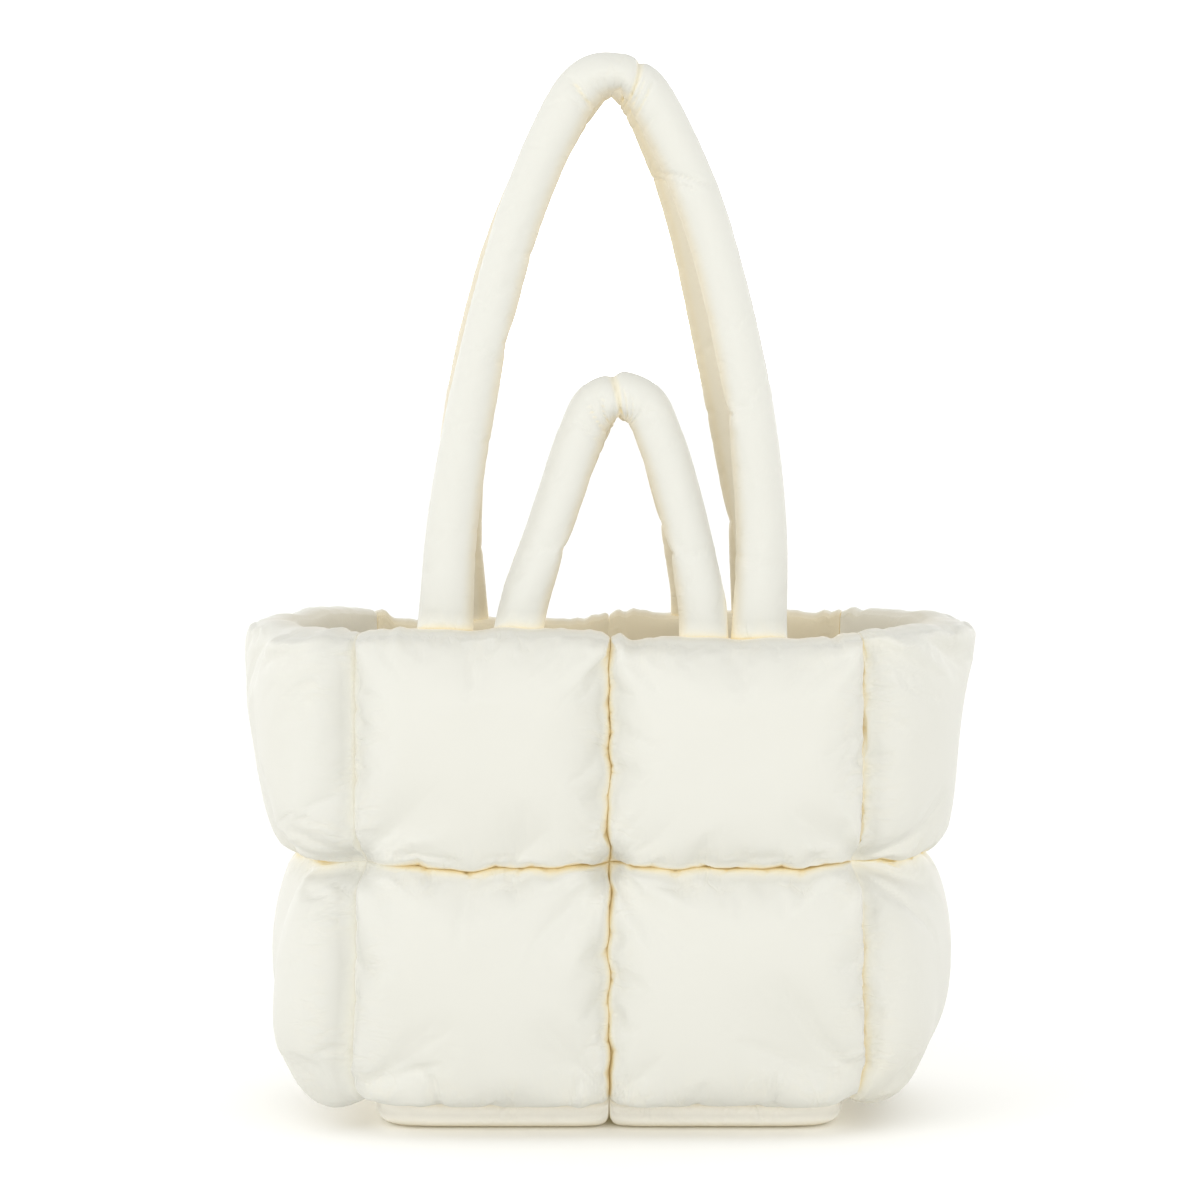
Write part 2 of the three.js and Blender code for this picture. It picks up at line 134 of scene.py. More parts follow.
# Strength of the painted shade that the lining colour gives inside the panels and inside the gussets.
PANEL_LINING_SHADE, GUSSET_LINING_SHADE = 1, 0.4
# Fine puckers run off the seams this far; those at the mouth are weaker by this share.
PUCKER_REACH, RIM_PUCKERS = 12, 0.5
# Marks that the inside of a wall has as well as the outside.
INNER_MARKS = ("upright_puckers", "level_puckers")

# Soft folds pressed into the puffs: column, row, from x and y, to x and y, depth, width.
FRONT_FOLDS = (
    (0, 0, 0.26, 0.00, 0.12, 0.22, 4, 4),
    (0, 0, 0.98, 0.96, 0.80, 0.80, 4, 6),
    (1, 0, 0.98, 0.05, 0.66, 0.36, 5, 8),
    (1, 0, 0.02, 0.96, 0.20, 0.78, 4, 6),
    (0, 1, 0.02, 0.05, 0.20, 0.24, 4, 7),
    (1, 1, 0.98, 0.05, 0.78, 0.22, 4, 7),
)
BACK_FOLDS = (
    (0, 0, 0.02, 0.04, 0.28, 0.26, 5, 8),
    (1, 0, 0.98, 0.95, 0.76, 0.74, 4, 7),
)
GUSSET_FOLDS = (
    (0, 1, 0.05, 0.02, 0.28, 0.24, 4, 7),
)
# Sharper creases, in the same columns.
FRONT_CREASES = (
    (1, 0, 0.96, 0.08, 0.70, 0.52, 2.5, 4),
    (1, 0, 0.97, 0.04, 0.60, 0.26, 2.5, 4),
    (0, 0, 0.04, 0.05, 0.30, 0.16, 3, 3.5),
    (0, 1, 0.60, 0.02, 0.76, 0.20, 2.5, 4),
)
RIGHT_CREASES = (
    (0, 0, 0.0, 1.0, 0.30, 0.86, 14, 5),
    (0, 0, 0.0, 1.0, 0.20, 0.72, 8, 4),
    (0, 1, 0.0, 0.0, 0.26, 0.14, 9, 4),
    (0, 1, 0.02, 0.98, 0.16, 0.80, 6, 5),
    (0, 1, 0.10, 1.00, 0.34, 0.84, 5, 5),
)
LEFT_CREASES = (
    (0, 1, 1.0, 0.0, 0.76, 0.10, 12, 4.5),
    (0, 1, 1.0, 0.0, 0.88, 0.20, 9, 4),
    (0, 0, 1.0, 1.0, 0.76, 0.92, 9, 4),
    (0, 1, 0.98, 1.0, 0.84, 0.86, 5, 5),
)

# Arches of the straps: rise above the mouth and half the span between the legs.
LONG_ARCH = (
    (0, 88), (60, 86), (120, 78), (180, 65.5), (232, 51), (273, 34.5), (300, 19.5),
    (308.5, 10), (310.5, 0),
)
SHORT_ARCH = ((0, 52), (18, 49.5), (45, 42), (78, 32.5), (107, 23), (126, 13), (130, 0))
LONG_TUBE = {
    "foot_width": 32, "leg_width": 30.5, "width": 26.5, "top_width": 24,
    "foot_depth": 10, "depth": 27, "taper": 210,
}
SHORT_TUBE = {
    "foot_width": 28, "leg_width": 27, "width": 26, "top_width": 32,
    "foot_depth": 10, "depth": 25, "taper": 90,
}
FOOT_REACH, FOOT_POWER, TOP_REACH = 34, 2, 30
# Creases across a strap: distance along it from its top, slant, depth, width, and how far round
# from the inside of the bend they reach, as an angle.
LONG_CREASES = (
    (-34, 5, 1.6, 1.3, 1.9), (-26, 3, 3.4, 1.5, 2.6), (-15, -2, 1.0, 1.3, 1.4),
    (17, -4, 4.6, 1.6, 4.2), (22, -5, 2.4, 1.3, 2.7), (28, -6, 2.8, 1.4, 2.5),
    (38, -3, 1.4, 1.3, 1.8), (66, 9, 1.7, 1.4, 2.3), (71, 11, 1.3, 1.3, 2.1),
)
SHORT_CREASES = (
    (0, -2, 5.0, 1.7, 4.2), (6, -4, 2.6, 1.3, 2.7), (11, -5, 2.2, 1.3, 2.4),
    (17, -4, 1.5, 1.3, 2.0), (-8, 4, 1.8, 1.3, 2.0), (-17, 6, 2.5, 1.4, 2.4),
    (-26, 7, 2.8, 1.4, 2.5), (-34, 5, 1.8, 1.3, 2.2),
)
# Shares of their reach round a strap up to which the creases and the drawn-up point are full.
CREASE_CORE, PEAK_CORE = 0.6, 0.3
# Creases are shallower by the seam inside the bend: their share there, and angles to full depth.
SEAM_SHARE, SEAM_TURN = 0.3, (0.1, 0.8)
# The inside of the bend is drawn up to a point: place along the strap, depth, width, reach.
LONG_PEAK, SHORT_PEAK = (5, 5.0, 9, 1.5), (-1, 6.5, 9, 1.5)
# Puckers along the seam on the inside of a strap: ranges of spacing, slant, depth and width, and
# how far round the strap they reach.
PUCKER_STEP, PUCKER_SLANT, PUCKER_DEPTH, PUCKER_WIDTH = (6, 21), (-3, 3), (0.3, 1.3), (1.2, 2.4)
PUCKER_ROUND = 0.9
# Share of the spare cloth on the inside of its bend that a strap keeps.
STRAP_EASE = 0.3
# Rings of a strap lie this far apart on average, and closer together towards its top.
RING_STEP, RING_CROWDING, RING_SIDES = 1.9, 1.3, 52
# Rings at each foot of a strap that are sewn down.
FOOT_RINGS = 2
# Painted shade: the inside of the bend takes the lining colour over these angles, and so does the side of
# the rear straps that faces the front.
STRAP_PAINTED_SHADE, STRAP_SHADE_TURN = 0.75, (0.2, 1.1)
REAR_PAINTED_SHADE, REAR_TURN = 0.7, (-0.3, 0.5)
# Strength of the fine puckers inside the bend, and the angles over which they fade.
STRAP_PUCKERS, STRAP_PUCKER_TURN = 0.5, (0.3, 1.4)
# Each strap: wall, arch, tube, creases, drawn-up point, shift of its feet, of its top and sway
# between them to the right, lean of the top, raise of the top, and seed of its puckers.
LONG = (LONG_ARCH, LONG_TUBE, LONG_CREASES, LONG_PEAK)
SHORT = (SHORT_ARCH, SHORT_TUBE, SHORT_CREASES, SHORT_PEAK)
STRAPS = {
    "long_strap_front": ("front", *LONG, -4, 1, 3, 4, 0, 15),
    "long_strap_back": ("back", *LONG, 1, 1, -7.2, 4, 1, 16),
    "short_handle_front": ("front", *SHORT, 1, 6, 2, 3, 0, 17),
    "short_handle_back": ("back", *SHORT, -1, 9, 0, 3, -5, 18),
}

# Look of the cloth, with scales in waves for each metre and distances in metres.
PATCHES = {"Scale": 9.0, "Detail": 3.0}
CRUMPLES = {"Scale": 120.0, "Detail": 4.0, "Roughness": 0.6}
CLUSTERS = {"Scale": 38.0, "Detail": 1.0}
CLUSTER_RANGE = {"From Min": 0.4, "From Max": 0.62, "To Min": 0.15, "To Max": 1.0}
PUCKERS = {"Scale": 1.0, "Detail": 2.0, "Distortion": 0.5}
PUCKERS_ACROSS, PUCKERS_ALONG = 120, 50
PUCKER_SHARPNESS, PUCKER_DIP = 9, 0.6
PATCH_SHARE = 0.5
# Painted shade in folds: reach and samples of the occlusion that sets it, and the range over which it
# grows.
FOLD_DISTANCE, FOLD_SAMPLES = 0.01, 4
HIDDEN_RANGE = {"From Min": 0.4, "From Max": 0.05, "To Min": 0.0, "To Max": 1.0}
ROUGHNESS, ROUGHNESS_SPREAD = 0.5, 0.12
WEAVE_BUMP = {"Strength": 0.15, "Distance": 0.00005}
CRUMPLE_BUMP = {"Strength": 0.2, "Distance": 0.0006}
PUCKER_BUMP = {"Strength": 0.45, "Distance": 0.0013}
SHEEN = {"Sheen Weight": 0.1, "Sheen Roughness": 0.5, "Specular IOR Level": 0.3}
BLACK = (0, 0, 0, 1)

# Cloth of the simulation, and the frames that it takes to settle.
FABRIC = {
    "quality": 6, "mass": 0.002, "tension_stiffness": 40, "compression_stiffness": 40,
    "shear_stiffness": 20, "bending_model": "ANGULAR", "tension_damping": 2,
    "compression_damping": 2, "shear_damping": 2, "air_damping": 2,
}
FRAMES = 20

# Studio, in metres and watts.
FLOOR_HALF, FLOOR_DROP = 20, 0.0004
FLOOR = {"Base Color": (0.98, 0.975, 0.95, 1), "Roughness": 0.9, "Specular IOR Level": 0.1}
# The sky is brighter low down than high up, and a little brighter on the left.
SKY_BAND = {"From Min": 0.45, "From Max": 0.05, "To Min": 0.95, "To Max": 2.8}
SKY_LEFT = 0.05
SKY_COLOUR = (1.0, 1.0, 1.0, 1)
# Soft lights: name, power, size and place.
LIGHTS = (("key", 20, 2.5, (-2.6, -2.3, 1.9)), ("fill", 12, 1.0, (0.5, -3.0, 1.1)))
LIGHT_AIM = (0, 0, 0.2)
LENS, SENSOR = 129.74, 36
CAMERA_PLACE, CAMERA_AIM = (-0.00515, -2.491, 0.4715), (-0.00515, 0, 0.2947)


# Geometry of the sewn surfaces

PLAN_CURVES = np.polyfit(PLAN[:, 0], PLAN[:, 1:], len(PLAN) - 1)


def plan_at(z):
    """Half width, half depth, arc radius, half angle and arc centre of the walls at height z."""
    half_width, half_depth, bow = (np.polyval(PLAN_CURVES[:, i], z) for i in range(3))
    radius = (half_depth ** 2 + bow ** 2) / (2 * bow)
    return half_width, half_depth, radius, np.arcsin(half_depth / radius), half_width + bow - radius


def shoulder(share, power):
    """Rises from 0 at an edge to 1 at the full distance, on a rounded shoulder."""
    return (1 - (1 - np.clip(share, 0, 1)) ** power) ** (1 / power)


def between_seams(share, power):
    """Profile of a puff between two seams."""
    return shoulder(2 * share, power) * shoulder(2 * (1 - share), power)


def both(first, second, sharpness=6, least=1e-6):
    """The lower of two profiles, rounded where they meet."""
    first, second = np.maximum(first, least), np.maximum(second, least)
    return (first ** -sharpness + second ** -sharpness - 1) ** (-1 / sharpness)


def boxed(share, power):
    """Profile of a boxy puff between seams, with rounded edges and a domed face."""
    edge = shoulder(np.minimum(share, 1 - share) / EDGE_SHARE, EDGE_POWER)
    return edge * (1 - DOME + DOME * between_seams(share, power))


def under_rim(share, height, power, profile):
    """Profile of a puff from a sewn seam up to the folded edge of the mouth."""
    rim = shoulder((1 - share) * height / RIM_REACH, RIM_POWER)
    return profile(np.minimum(share, 0.5), power) * (RIM_SHARE + (1 - RIM_SHARE) * rim)


def smoothstep(value, low, high):
    """Rises smoothly from 0 at the low value to 1 at the high one."""
    share = np.clip((value - low) / (high - low), 0, 1)
    return share * share * (3 - 2 * share)


def rim_height(share, puff_width, sag, depth):
    """Height of the folded edge over a puff."""
    to_seam = np.minimum(share, 1 - share)
    notch = depth * (1 - shoulder(to_seam * puff_width / NOTCH_REACH, NOTCH_POWER))
    return RIM_Z - sag * smoothstep(to_seam, SAG_START, SAG_FULL) - notch


def near(distance):
    """Strength of the fine puckers at a distance from a seam."""
    return np.exp(-(distance / PUCKER_REACH) ** 2)


def lean(distance, reach=LEAN_REACH):
    """Pull of a neighbouring face on the direction in which padding swells near their seam."""
    return np.maximum(0, 1 - distance / reach) ** 2


def unit(vectors):
    """The vectors at a length of one."""
    return vectors / np.linalg.norm(vectors, axis=-1, keepdims=True)


def gathers(seed, puffs, width):
    """Rows of short folds that radiate from the sewn corners of each puff."""
    chance = np.random.default_rng(seed)
    rows = []
    for column, row, x, y in np.ndindex(puffs, 2, 2, 2):
        at_rim = row + y == 2
        for number in range(0 if at_rim else GATHERS):
            angle = (number + chance.uniform(*GATHER_TURN)) / GATHERS * math.pi / 2
            length = chance.uniform(*GATHER_LENGTH)
            to_x = x + (1 - 2 * x) * length * math.cos(angle) / width
            to_y = y + (1 - 2 * y) * length * math.sin(angle) / PUFF_HEIGHT
            depth, wide = chance.uniform(*GATHER_DEPTH), chance.uniform(*GATHER_WIDTH)
            rows.append((column, row, x, y, to_x, to_y, depth, wide))
    return rows


def fold_depth(folds, at, size, power):
    """Depth of the folds at places of the puffs; a lower power makes sharper folds."""
    depth = np.zeros(np.broadcast(at.across, at.up).shape)
    for fold_column, fold_row, x0, y0, x1, y1, deep, wide in folds:
        along_x, along_y = (x1 - x0) * size[0], (y1 - y0) * size[1]
        off_x, off_y = (at.across - x0) * size[0], (at.up - y0) * size[1]
        share = (off_x * along_x + off_y * along_y) / (along_x ** 2 + along_y ** 2)
        share = np.clip(share, 0, 1)
        distance = np.hypot(off_x - share * along_x, off_y - share * along_y)
        here = (at.column == fold_column) & (at.row == fold_row)
        depth = np.maximum(
            depth, here * deep * (1 - share ** 2) * np.exp(-(distance / wide) ** power))
    return depth


def stations(profiles, size, cells):
    """Puff number and share of each station, evenly spaced over the swollen cloth of the puffs."""
    fine = (1 - np.cos(np.linspace(0, np.pi, PROFILE_SAMPLES))) / 2
    puffs, shares = [], []
    for puff, profile in enumerate(profiles):
        steps = np.hypot(np.diff(fine) * size, np.diff(profile(fine)))
        run = np.concatenate([[0], np.cumsum(steps)])
        share = np.interp(np.linspace(0, run[-1], cells + 1), run, fine)
        apart = np.minimum(np.arange(cells + 1) * LEAST_CELL / size, 0.5)
        share = np.minimum(np.maximum(share, apart), 1 - apart[::-1])
        puffs += [puff] * cells
        shares += [0.0, *share[1:-1]]
    return np.array(puffs + [puffs[-1]]), np.array(shares + [1.0])


def wave(places, seed, lengths, size):
    """A smooth seeded wave along a seam, made of a few lengths."""
    chance = np.random.default_rng(seed)
    total = sum(np.sin(2 * np.pi * (places / length + chance.random())) for length in lengths)
    return size * total / math.sqrt(len(lengths))


def panel_sheet(share, z, drop):
    """Middle surface of the front panel and the direction in which it swells."""
    half_width, half_depth, _, half_angle, _ = plan_at(z)
    middle = np.stack([(half_width - GAP / 2) * (2 * share - 1), -half_depth, z], -1)
    left, right = lean(2 * half_width * share), lean(2 * half_width * (1 - share))
    facing = np.stack([
        (right - left) * np.cos(half_angle),
        -1 - (left + right) * np.sin(half_angle),
        -drop * lean(z - BASE_SEAM_Z, PANEL_BASE_LEAN),
    ], -1)
    return middle, unit(facing)


def gusset_sheet(share, z, drop):
    """Middle surface of the right gusset, from its front corner seam to its back one."""
    _, _, radius, half_angle, centre = plan_at(z)
    angle = (half_angle - GAP / 2 / radius) * (2 * share - 1)
    middle = np.stack([centre + radius * np.cos(angle), radius * np.sin(angle), z], -1)
    length = 2 * radius * half_angle
    front, back = lean(length * share), lean(length * (1 - share))
    facing = np.stack([
        np.cos(angle),
        np.sin(angle) - front + back,
        -drop * lean(z - BASE_SEAM_Z, GUSSET_BASE_LEAN),
    ], -1)
    return middle, unit(facing)


def turned(points):
    """The points turned by half a turn about the upright axis."""
    return points * (-1, -1, 1)


PANEL = {
    "sheet": panel_sheet, "profile": boxed, "drop": PANEL_DROP, "puffs": 2, "width": PANEL_PUFF,
    "cells": PANEL_CELLS, "swell": PANEL_SWELL, "lining": PANEL_LINING_SHADE,
}
GUSSET = {
    "sheet": gusset_sheet, "profile": between_seams, "drop": GUSSET_DROP, "puffs": 1,
    "width": GUSSET_PUFF, "cells": GUSSET_CELLS, "sag": (0,), "folds": GUSSET_FOLDS,
    "lining": GUSSET_LINING_SHADE,
}
WALLS = {
    "front_panel": PANEL | {
        "sag": FRONT_SAG, "folds": FRONT_FOLDS, "creases": FRONT_CREASES, "turned": False,
        "seed": 11},
    "back_panel": PANEL | {
        "sag": BACK_SAG, "folds": BACK_FOLDS, "creases": (), "turned": True, "seed": 23},
    "right_gusset": GUSSET | {
        "swell": RIGHT_SWELL, "creases": RIGHT_CREASES, "turned": False, "seed": 37},
    "left_gusset": GUSSET | {
        "swell": LEFT_SWELL, "creases": LEFT_CREASES, "turned": True, "seed": 41},
}


def wall_places(wall):
    """Puff, share of it, height and distances from the seams of each station of a wall."""
    profile, puffs, width, seed = (wall[name] for name in ("profile", "puffs", "width", "seed"))
    (low_foot, _, _, low_power, _), (high_foot, _, _, high_power, _) = wall["swell"]
    column, across = stations(
        [lambda s: high_foot * profile(s, SQUARER * high_power)] * puffs, width, wall["cells"])
    row, up = (part[:, None] for part in stations(
        (lambda s: low_foot * profile(s, low_power),
         lambda s: high_foot * under_rim(s, PUFF_HEIGHT, high_power, profile)),
        PUFF_HEIGHT, CELLS_UP))
    upper = row == 1
    sides = np.minimum(across, 1 - across) * width
    run = (column + across) * width
    inner_seam = (puffs == 2) & (np.abs(run - width) < width / 2)
    notch = np.where(inner_seam, MIDDLE_NOTCH, CORNER_NOTCH)
    rim = rim_height(across, width, np.array(wall["sag"])[column], notch)
    rim = rim + smoothstep(sides, 0, NOTCH_REACH) * wave(run, seed, RIM_LENGTHS, RIM_WANDER)
    beside = np.exp(-(sides / PLEAT_REACH) ** 2) * smoothstep(sides, 0, PLEAT_REACH / 4)
    rim = rim + beside * wave(run, seed + 3, PLEAT_LENGTHS, PLEAT_RISE)
    low = np.where(upper, MIDDLE_SEAM_Z, BASE_SEAM_Z + GAP / 2)
    height = np.where(upper, rim, MIDDLE_SEAM_Z) - low
    z = low + height * up
    to_corner = smoothstep(np.minimum(run, puffs * width - run), 0, 2 * SEAM_REACH)
    beside = np.exp(-((z - MIDDLE_SEAM_Z) / SEAM_REACH) ** 2)
    slack = SEAM_SLACK * np.sin(np.pi * across) ** 2
    z = z + beside * to_corner * (wave(run, seed + 1, SEAM_LENGTHS, SEAM_WANDER) - slack)
    ends = np.where(upper, up, np.minimum(up, 1 - up)) * height
    return SimpleNamespace(
        column=column, across=across, row=row, up=up, upper=upper, height=height, z=z,
        sides=sides, ends=ends, to_corner=np.hypot(sides, ends), inner_seam=inner_seam)


def wall_swell(wall, at):
    """How far a wall stands out and in at its stations, and how fast its cloth is held there."""
    profile = wall["profile"]
    foot, head, side, power, inward = np.array(wall["swell"], float)[at.row].transpose(2, 0, 1)
    out = foot + (head - foot) * at.up
    out = out + side * np.exp(-((at.sides - SIDE_FULL) / SIDE_REACH) ** 2)

    def rise(power, profile):
        return np.where(
            at.upper, under_rim(at.up, at.height, power, profile), profile(at.up, power))

    drawn = np.where(at.upper | (at.up > 0.5), PINCH, BASE_PINCH)
    pinch = 1 - drawn * np.exp(-(at.sides ** 2 + at.ends ** 2) / PINCH_REACH ** 2)
    size = (wall["width"], at.height)
    gathered = [*gathers(wall["seed"] + 4, wall["puffs"], wall["width"]), *wall["creases"]]
    fold = fold_depth(wall["folds"], at, size, SOFT_FOLD)
    sharp = fold_depth(gathered, at, size, SHARP_FOLD)
    puffed = both(profile(at.across, SQUARER * power), rise(power, profile)) * pinch
    shell = SEAM_THICKNESS / 2 + np.maximum(0, out - fold - sharp) * puffed
    lining = between_seams(at.across, LINING_POWER) * rise(LINING_POWER, between_seams)
    lining = SEAM_THICKNESS / 2 + inward * lining
    sewn = (at.across == 0) | (at.across == 1) | (at.up == 0) | (at.up == 1)
    folded = smoothstep(sharp * puffed, *HELD_CREASE)
    knotted = drawn / PINCH * np.exp(-(at.to_corner / KNOT_REACH) ** 2)
    return shell, lining, np.maximum(np.maximum(sewn, folded), knotted)


def wall_marks(wall, at, outer):
    """Strengths of the painted shade beside the seams and of the fine puckers on the outside of a wall."""
    power = np.array(wall["swell"], float)[at.row][..., 3]
    seamed = wall["profile"](np.where(at.upper, np.minimum(at.up, 0.5), at.up), power)
    seamed = both(wall["profile"](at.across, SQUARER * power), seamed)
    to_rim = np.where(at.upper, 1 - at.up, 1) * at.height
    # Painted shade is taken out beside the corner seams, fully on the left, towards the light.
    corner = np.where(at.inner_seam, 0, 1 - smoothstep(at.sides, *CORNER_SHADE_FADE))
    return {
        "crease": np.exp(-CREASE_SHADE_FALL * seamed),
        "corner": corner * np.where(outer[..., 0] < 0, 1, FAR_CORNER),
        "upright_puckers": near(at.ends) + RIM_PUCKERS * near(to_rim),
        "level_puckers": near(np.broadcast_to(at.sides, at.ends.shape)),
    }


def wall_sheets(node):
    """Outer and inner points of a wall, and what its cloth needs to be settled and tinted."""
    wall = WALLS[node]
    at = wall_places(wall)
    shell, lining, held = wall_swell(wall, at)
    share = np.broadcast_to((at.column + at.across) / wall["puffs"], at.z.shape)
    middle, facing = wall["sheet"](share, at.z, wall["drop"])
    _, inner_facing = wall["sheet"](share, at.z, 1)
    has_seam = wall["puffs"] == 2
    if has_seam:
        free = smoothstep(at.z, BASE_SEAM_Z, BASE_SEAM_Z + SEAM_FREE)
        beside = np.exp(-(middle[..., 0] / SEAM_REACH) ** 2) * free
        middle[..., 0] += beside * wave(at.z, wall["seed"] + 2, SEAM_LENGTHS, SEAM_WANDER)
    outer = middle + facing * shell[..., None]
    inner = middle - inner_facing * lining[..., None]
    if wall["turned"]:
        outer, inner, facing = turned(outer), turned(inner), turned(facing)
    return SimpleNamespace(
        outer=outer, inner=inner, facing=facing, held=held, turned=wall["turned"],
        to_seam=np.minimum(at.sides, at.ends), to_corner=at.to_corner,
        seam_row=len(at.up) // 2, seam_column=len(at.across) // 2 if has_seam else None,
        marks=wall_marks(wall, at, outer), lining=wall["lining"])


def kept_apart(wall, places):
    """Holds the puffs of a wall on their own side of the seams between them and its neighbours."""
    places = turned(places) if wall.turned else places.copy()
    row, column = wall.seam_row, wall.seam_column
    level = places[row, :, 2]
    places[:row, :, 2] = np.minimum(places[:row, :, 2], level)
    places[row + 1:, :, 2] = np.maximum(places[row + 1:, :, 2], level)
    if column is not None:
        middle = places[:, column:column + 1, 0]
        places[:, :column, 0] = np.minimum(places[:, :column, 0], middle)
        places[:, column + 1:, 0] = np.maximum(places[:, column + 1:, 0], middle)
    facing = turned(wall.facing) if wall.turned else wall.facing
    for edge, side in ((0, 1), (-1, -1)):
        across = np.cross(facing[:, edge], (0.0, 0.0, 1.0))
        across = side * unit(across)
        if np.sum(across[0] * (places[0, places.shape[1] // 2] - places[0, edge])) < 0:
            across = -across
        over = np.sum((places - places[:, edge][:, None]) * across[:, None], axis=-1)
        places -= np.minimum(over, 0)[..., None] * across[:, None]
    return turned(places) if wall.turned else places


def quad_grid(rows, columns, wrap_rows=False, wrap_columns=False):
    """Corner rows and columns of the quads of a grid; a wrapped side runs one past its end."""
    row, column = np.meshgrid(
        np.arange(rows - (not wrap_rows)), np.arange(columns - (not wrap_columns)), indexing="ij")
    row, column = row.ravel(), column.ravel()
    corner_rows = np.stack([row, row, row + 1, row + 1], 1)
    corner_columns = np.stack([column, column + 1, column + 1, column], 1)
    return corner_rows, corner_columns


def run_length(points, axis):
    """Average distance along one side of a grid of points, from its first row or column."""
    steps = np.linalg.norm(np.diff(points, axis=axis), axis=-1)
    return np.concatenate([[0], np.cumsum(steps.mean(axis=1 - axis))])


def wall_body(outer, inner, marks, lining_shade_share=PANEL_LINING_SHADE):
    """Closes the outer and the inner sheet into one body with a rounded fold at the mouth."""
    rows, columns = outer.shape[:2]
    turn = np.linspace(0, np.pi, FOLD_ROWS + 2)[1:-1, None]
    share = (1 - np.cos(turn)) / 2
    thickness = np.linalg.norm(outer[-1] - inner[-1], axis=-1)
    fold = outer[-1] + (inner[-1] - outer[-1]) * share[..., None]
    fold[..., 2] += np.minimum(FOLD_RISE, thickness * FOLD_SHARE) * np.sin(turn)
    points = np.concatenate([outer, fold, inner[::-1]])
    around = len(points)
    corner_rows, corner_columns = quad_grid(around, columns, wrap_rows=True)
    faces = (corner_rows % around) * columns + corner_columns
    u = run_length(outer, 1)
    v = np.append(run_length(points, 0), 0)
    v[-1] = v[-2] + SEAM_THICKNESS
    uvs = np.stack([u[corner_columns], v[corner_rows]], -1)
    ends = []
    for column, flip in ((0, False), (columns - 1, True)):
        for row in range(rows - 1):
            back = around - 1 - row
            corners = [row, row + 1, back - 1, back]
            ends.append([r * columns + column for r in (corners[::-1] if flip else corners)])
        cap = list(range(rows - 1, around - rows + 1))
        ends.append([r * columns + column for r in (cap[::-1] if flip else cap)])
    marks = {name: np.concatenate([
        values, np.repeat(values[-1:], FOLD_ROWS, axis=0), values[::-1] * (name in INNER_MARKS)])
        for name, values in marks.items()}
    # The fold and the inner sheet take the lining mark, which paints shade inside the bag.
    lining = np.repeat([0.0, *share[:, 0], 1.0], [rows] + [1] * FOLD_ROWS + [rows])
    marks["lining"] = lining_shade_share * np.repeat(lining, columns)
    return points.reshape(-1, 3), faces, uvs, ends, marks


def base_sheets():
    """Outer and inner points of the base, two puffs side by side pressed flat on the floor."""
    half_width, half_depth, radius, half_angle, centre = plan_at(BASE_SEAM_Z)
    depth, swell = 2 * half_depth, BASE_SWELL["out"]
    forward = stations(
        [lambda s: swell * between_seams(s, BASE_SWELL["edge"])], depth, BASE_CELLS)[1][:, None]
    puff, across = stations(
        [lambda s: swell * between_seams(s, BASE_SWELL["end"])] * 2, half_width, BASE_CELLS)
    angle = half_angle * (1 - 2 * forward)
    y = (1 - GAP / 2 / half_depth) * radius * np.sin(angle)
    half_width = centre + radius * np.cos(angle) - GAP / 2
    share = (puff + across) / 2
    from_end = np.where(puff == 0, across, 1 - across)
    shell = (shoulder(2 * from_end, BASE_SWELL["end"])
             * shoulder(2 * (1 - from_end), BASE_SWELL["middle"])
             * between_seams(forward, BASE_SWELL["edge"]))
    lining = between_seams(across, LINING_POWER) * between_seams(forward, LINING_POWER)
    middle = np.stack(np.broadcast_arrays(half_width * (2 * share - 1), y, float(BASE_SEAM_Z)), -1)

    def facing(weight, reach):
        left = weight * lean(2 * half_width * share, reach)
        right = weight * lean(2 * half_width * (1 - share), reach)
        return unit(np.stack(np.broadcast_arrays(
            (right - left) * np.cos(angle),
            lean(half_depth - y) - lean(half_depth + y) + (left + right) * np.sin(angle),
            -1.0,
        ), -1))

    out = SEAM_THICKNESS / 2 + swell * shell
    inward = SEAM_THICKNESS / 2 + BASE_SWELL["inward"] * lining
    outer = middle + facing(BASE_END_LEAN, BASE_END_REACH) * out[..., None]
    outer[..., 2] = np.maximum(0, outer[..., 2])
    inner = middle - facing(1, LEAN_REACH) * inward[..., None]
    # The crease mark paints shade near the base's seams.
    marks = {
        "crease": np.exp(-CREASE_SHADE_FALL * shell),
        "upright_puckers": near(np.minimum(forward, 1 - forward) * depth + 0 * shell),
        "level_puckers": near(np.minimum(across, 1 - across) * half_width + 0 * shell),
    }
    return outer, inner, marks


def smooth_line(points, samples=60):
    """A centripetal curve through the points, as many short steps."""
    ends = np.concatenate([[2 * points[0] - points[1]], points, [2 * points[-1] - points[-2]]])
    step = np.sqrt(np.linalg.norm(np.diff(ends, axis=0), axis=1))
    line = []
    t = np.linspace(0, 1, samples, endpoint=False)[:, None]
    for i in range(1, len(ends) - 2):
        p0, p1, p2, p3 = ends[i - 1:i + 3]
        d0, d1, d2 = step[i - 1:i + 2]
        m1 = d1 * ((p1 - p0) / d0 - (p2 - p0) / (d0 + d1) + (p2 - p1) / d1)
        m2 = d1 * ((p2 - p1) / d1 - (p3 - p1) / (d1 + d2) + (p3 - p2) / d2)
        line.append(p1 + m1 * t + (3 * (p2 - p1) - 2 * m1 - m2) * t ** 2
                    + (2 * (p1 - p2) + m1 + m2) * t ** 3)
    return np.concatenate(line + [points[-1:]])


def strap_line(arch, sag, outward, foot_shift, top_shift, sway, lean_in, raised):
    """Middle line of a strap from its left foot over its top to its right foot."""
    top = arch[-1][0]
    knots = []
    for side, rows, drop in ((-1, arch, sag[0]), (1, arch[-2::-1], sag[1])):
        for rise, half_span in rows:
            climb = rise / top
            shift = foot_shift + (top_shift - foot_shift) * climb + sway * math.sin(math.pi * climb)
            knots.append((
                side * half_span + shift,
                outward * (plan_at(RIM_Z)[1] - lean_in * climb),
                RIM_Z + GAP + rise + raised * climb - (1 - climb) * drop,
            ))
    return smooth_line(np.array(knots, float))


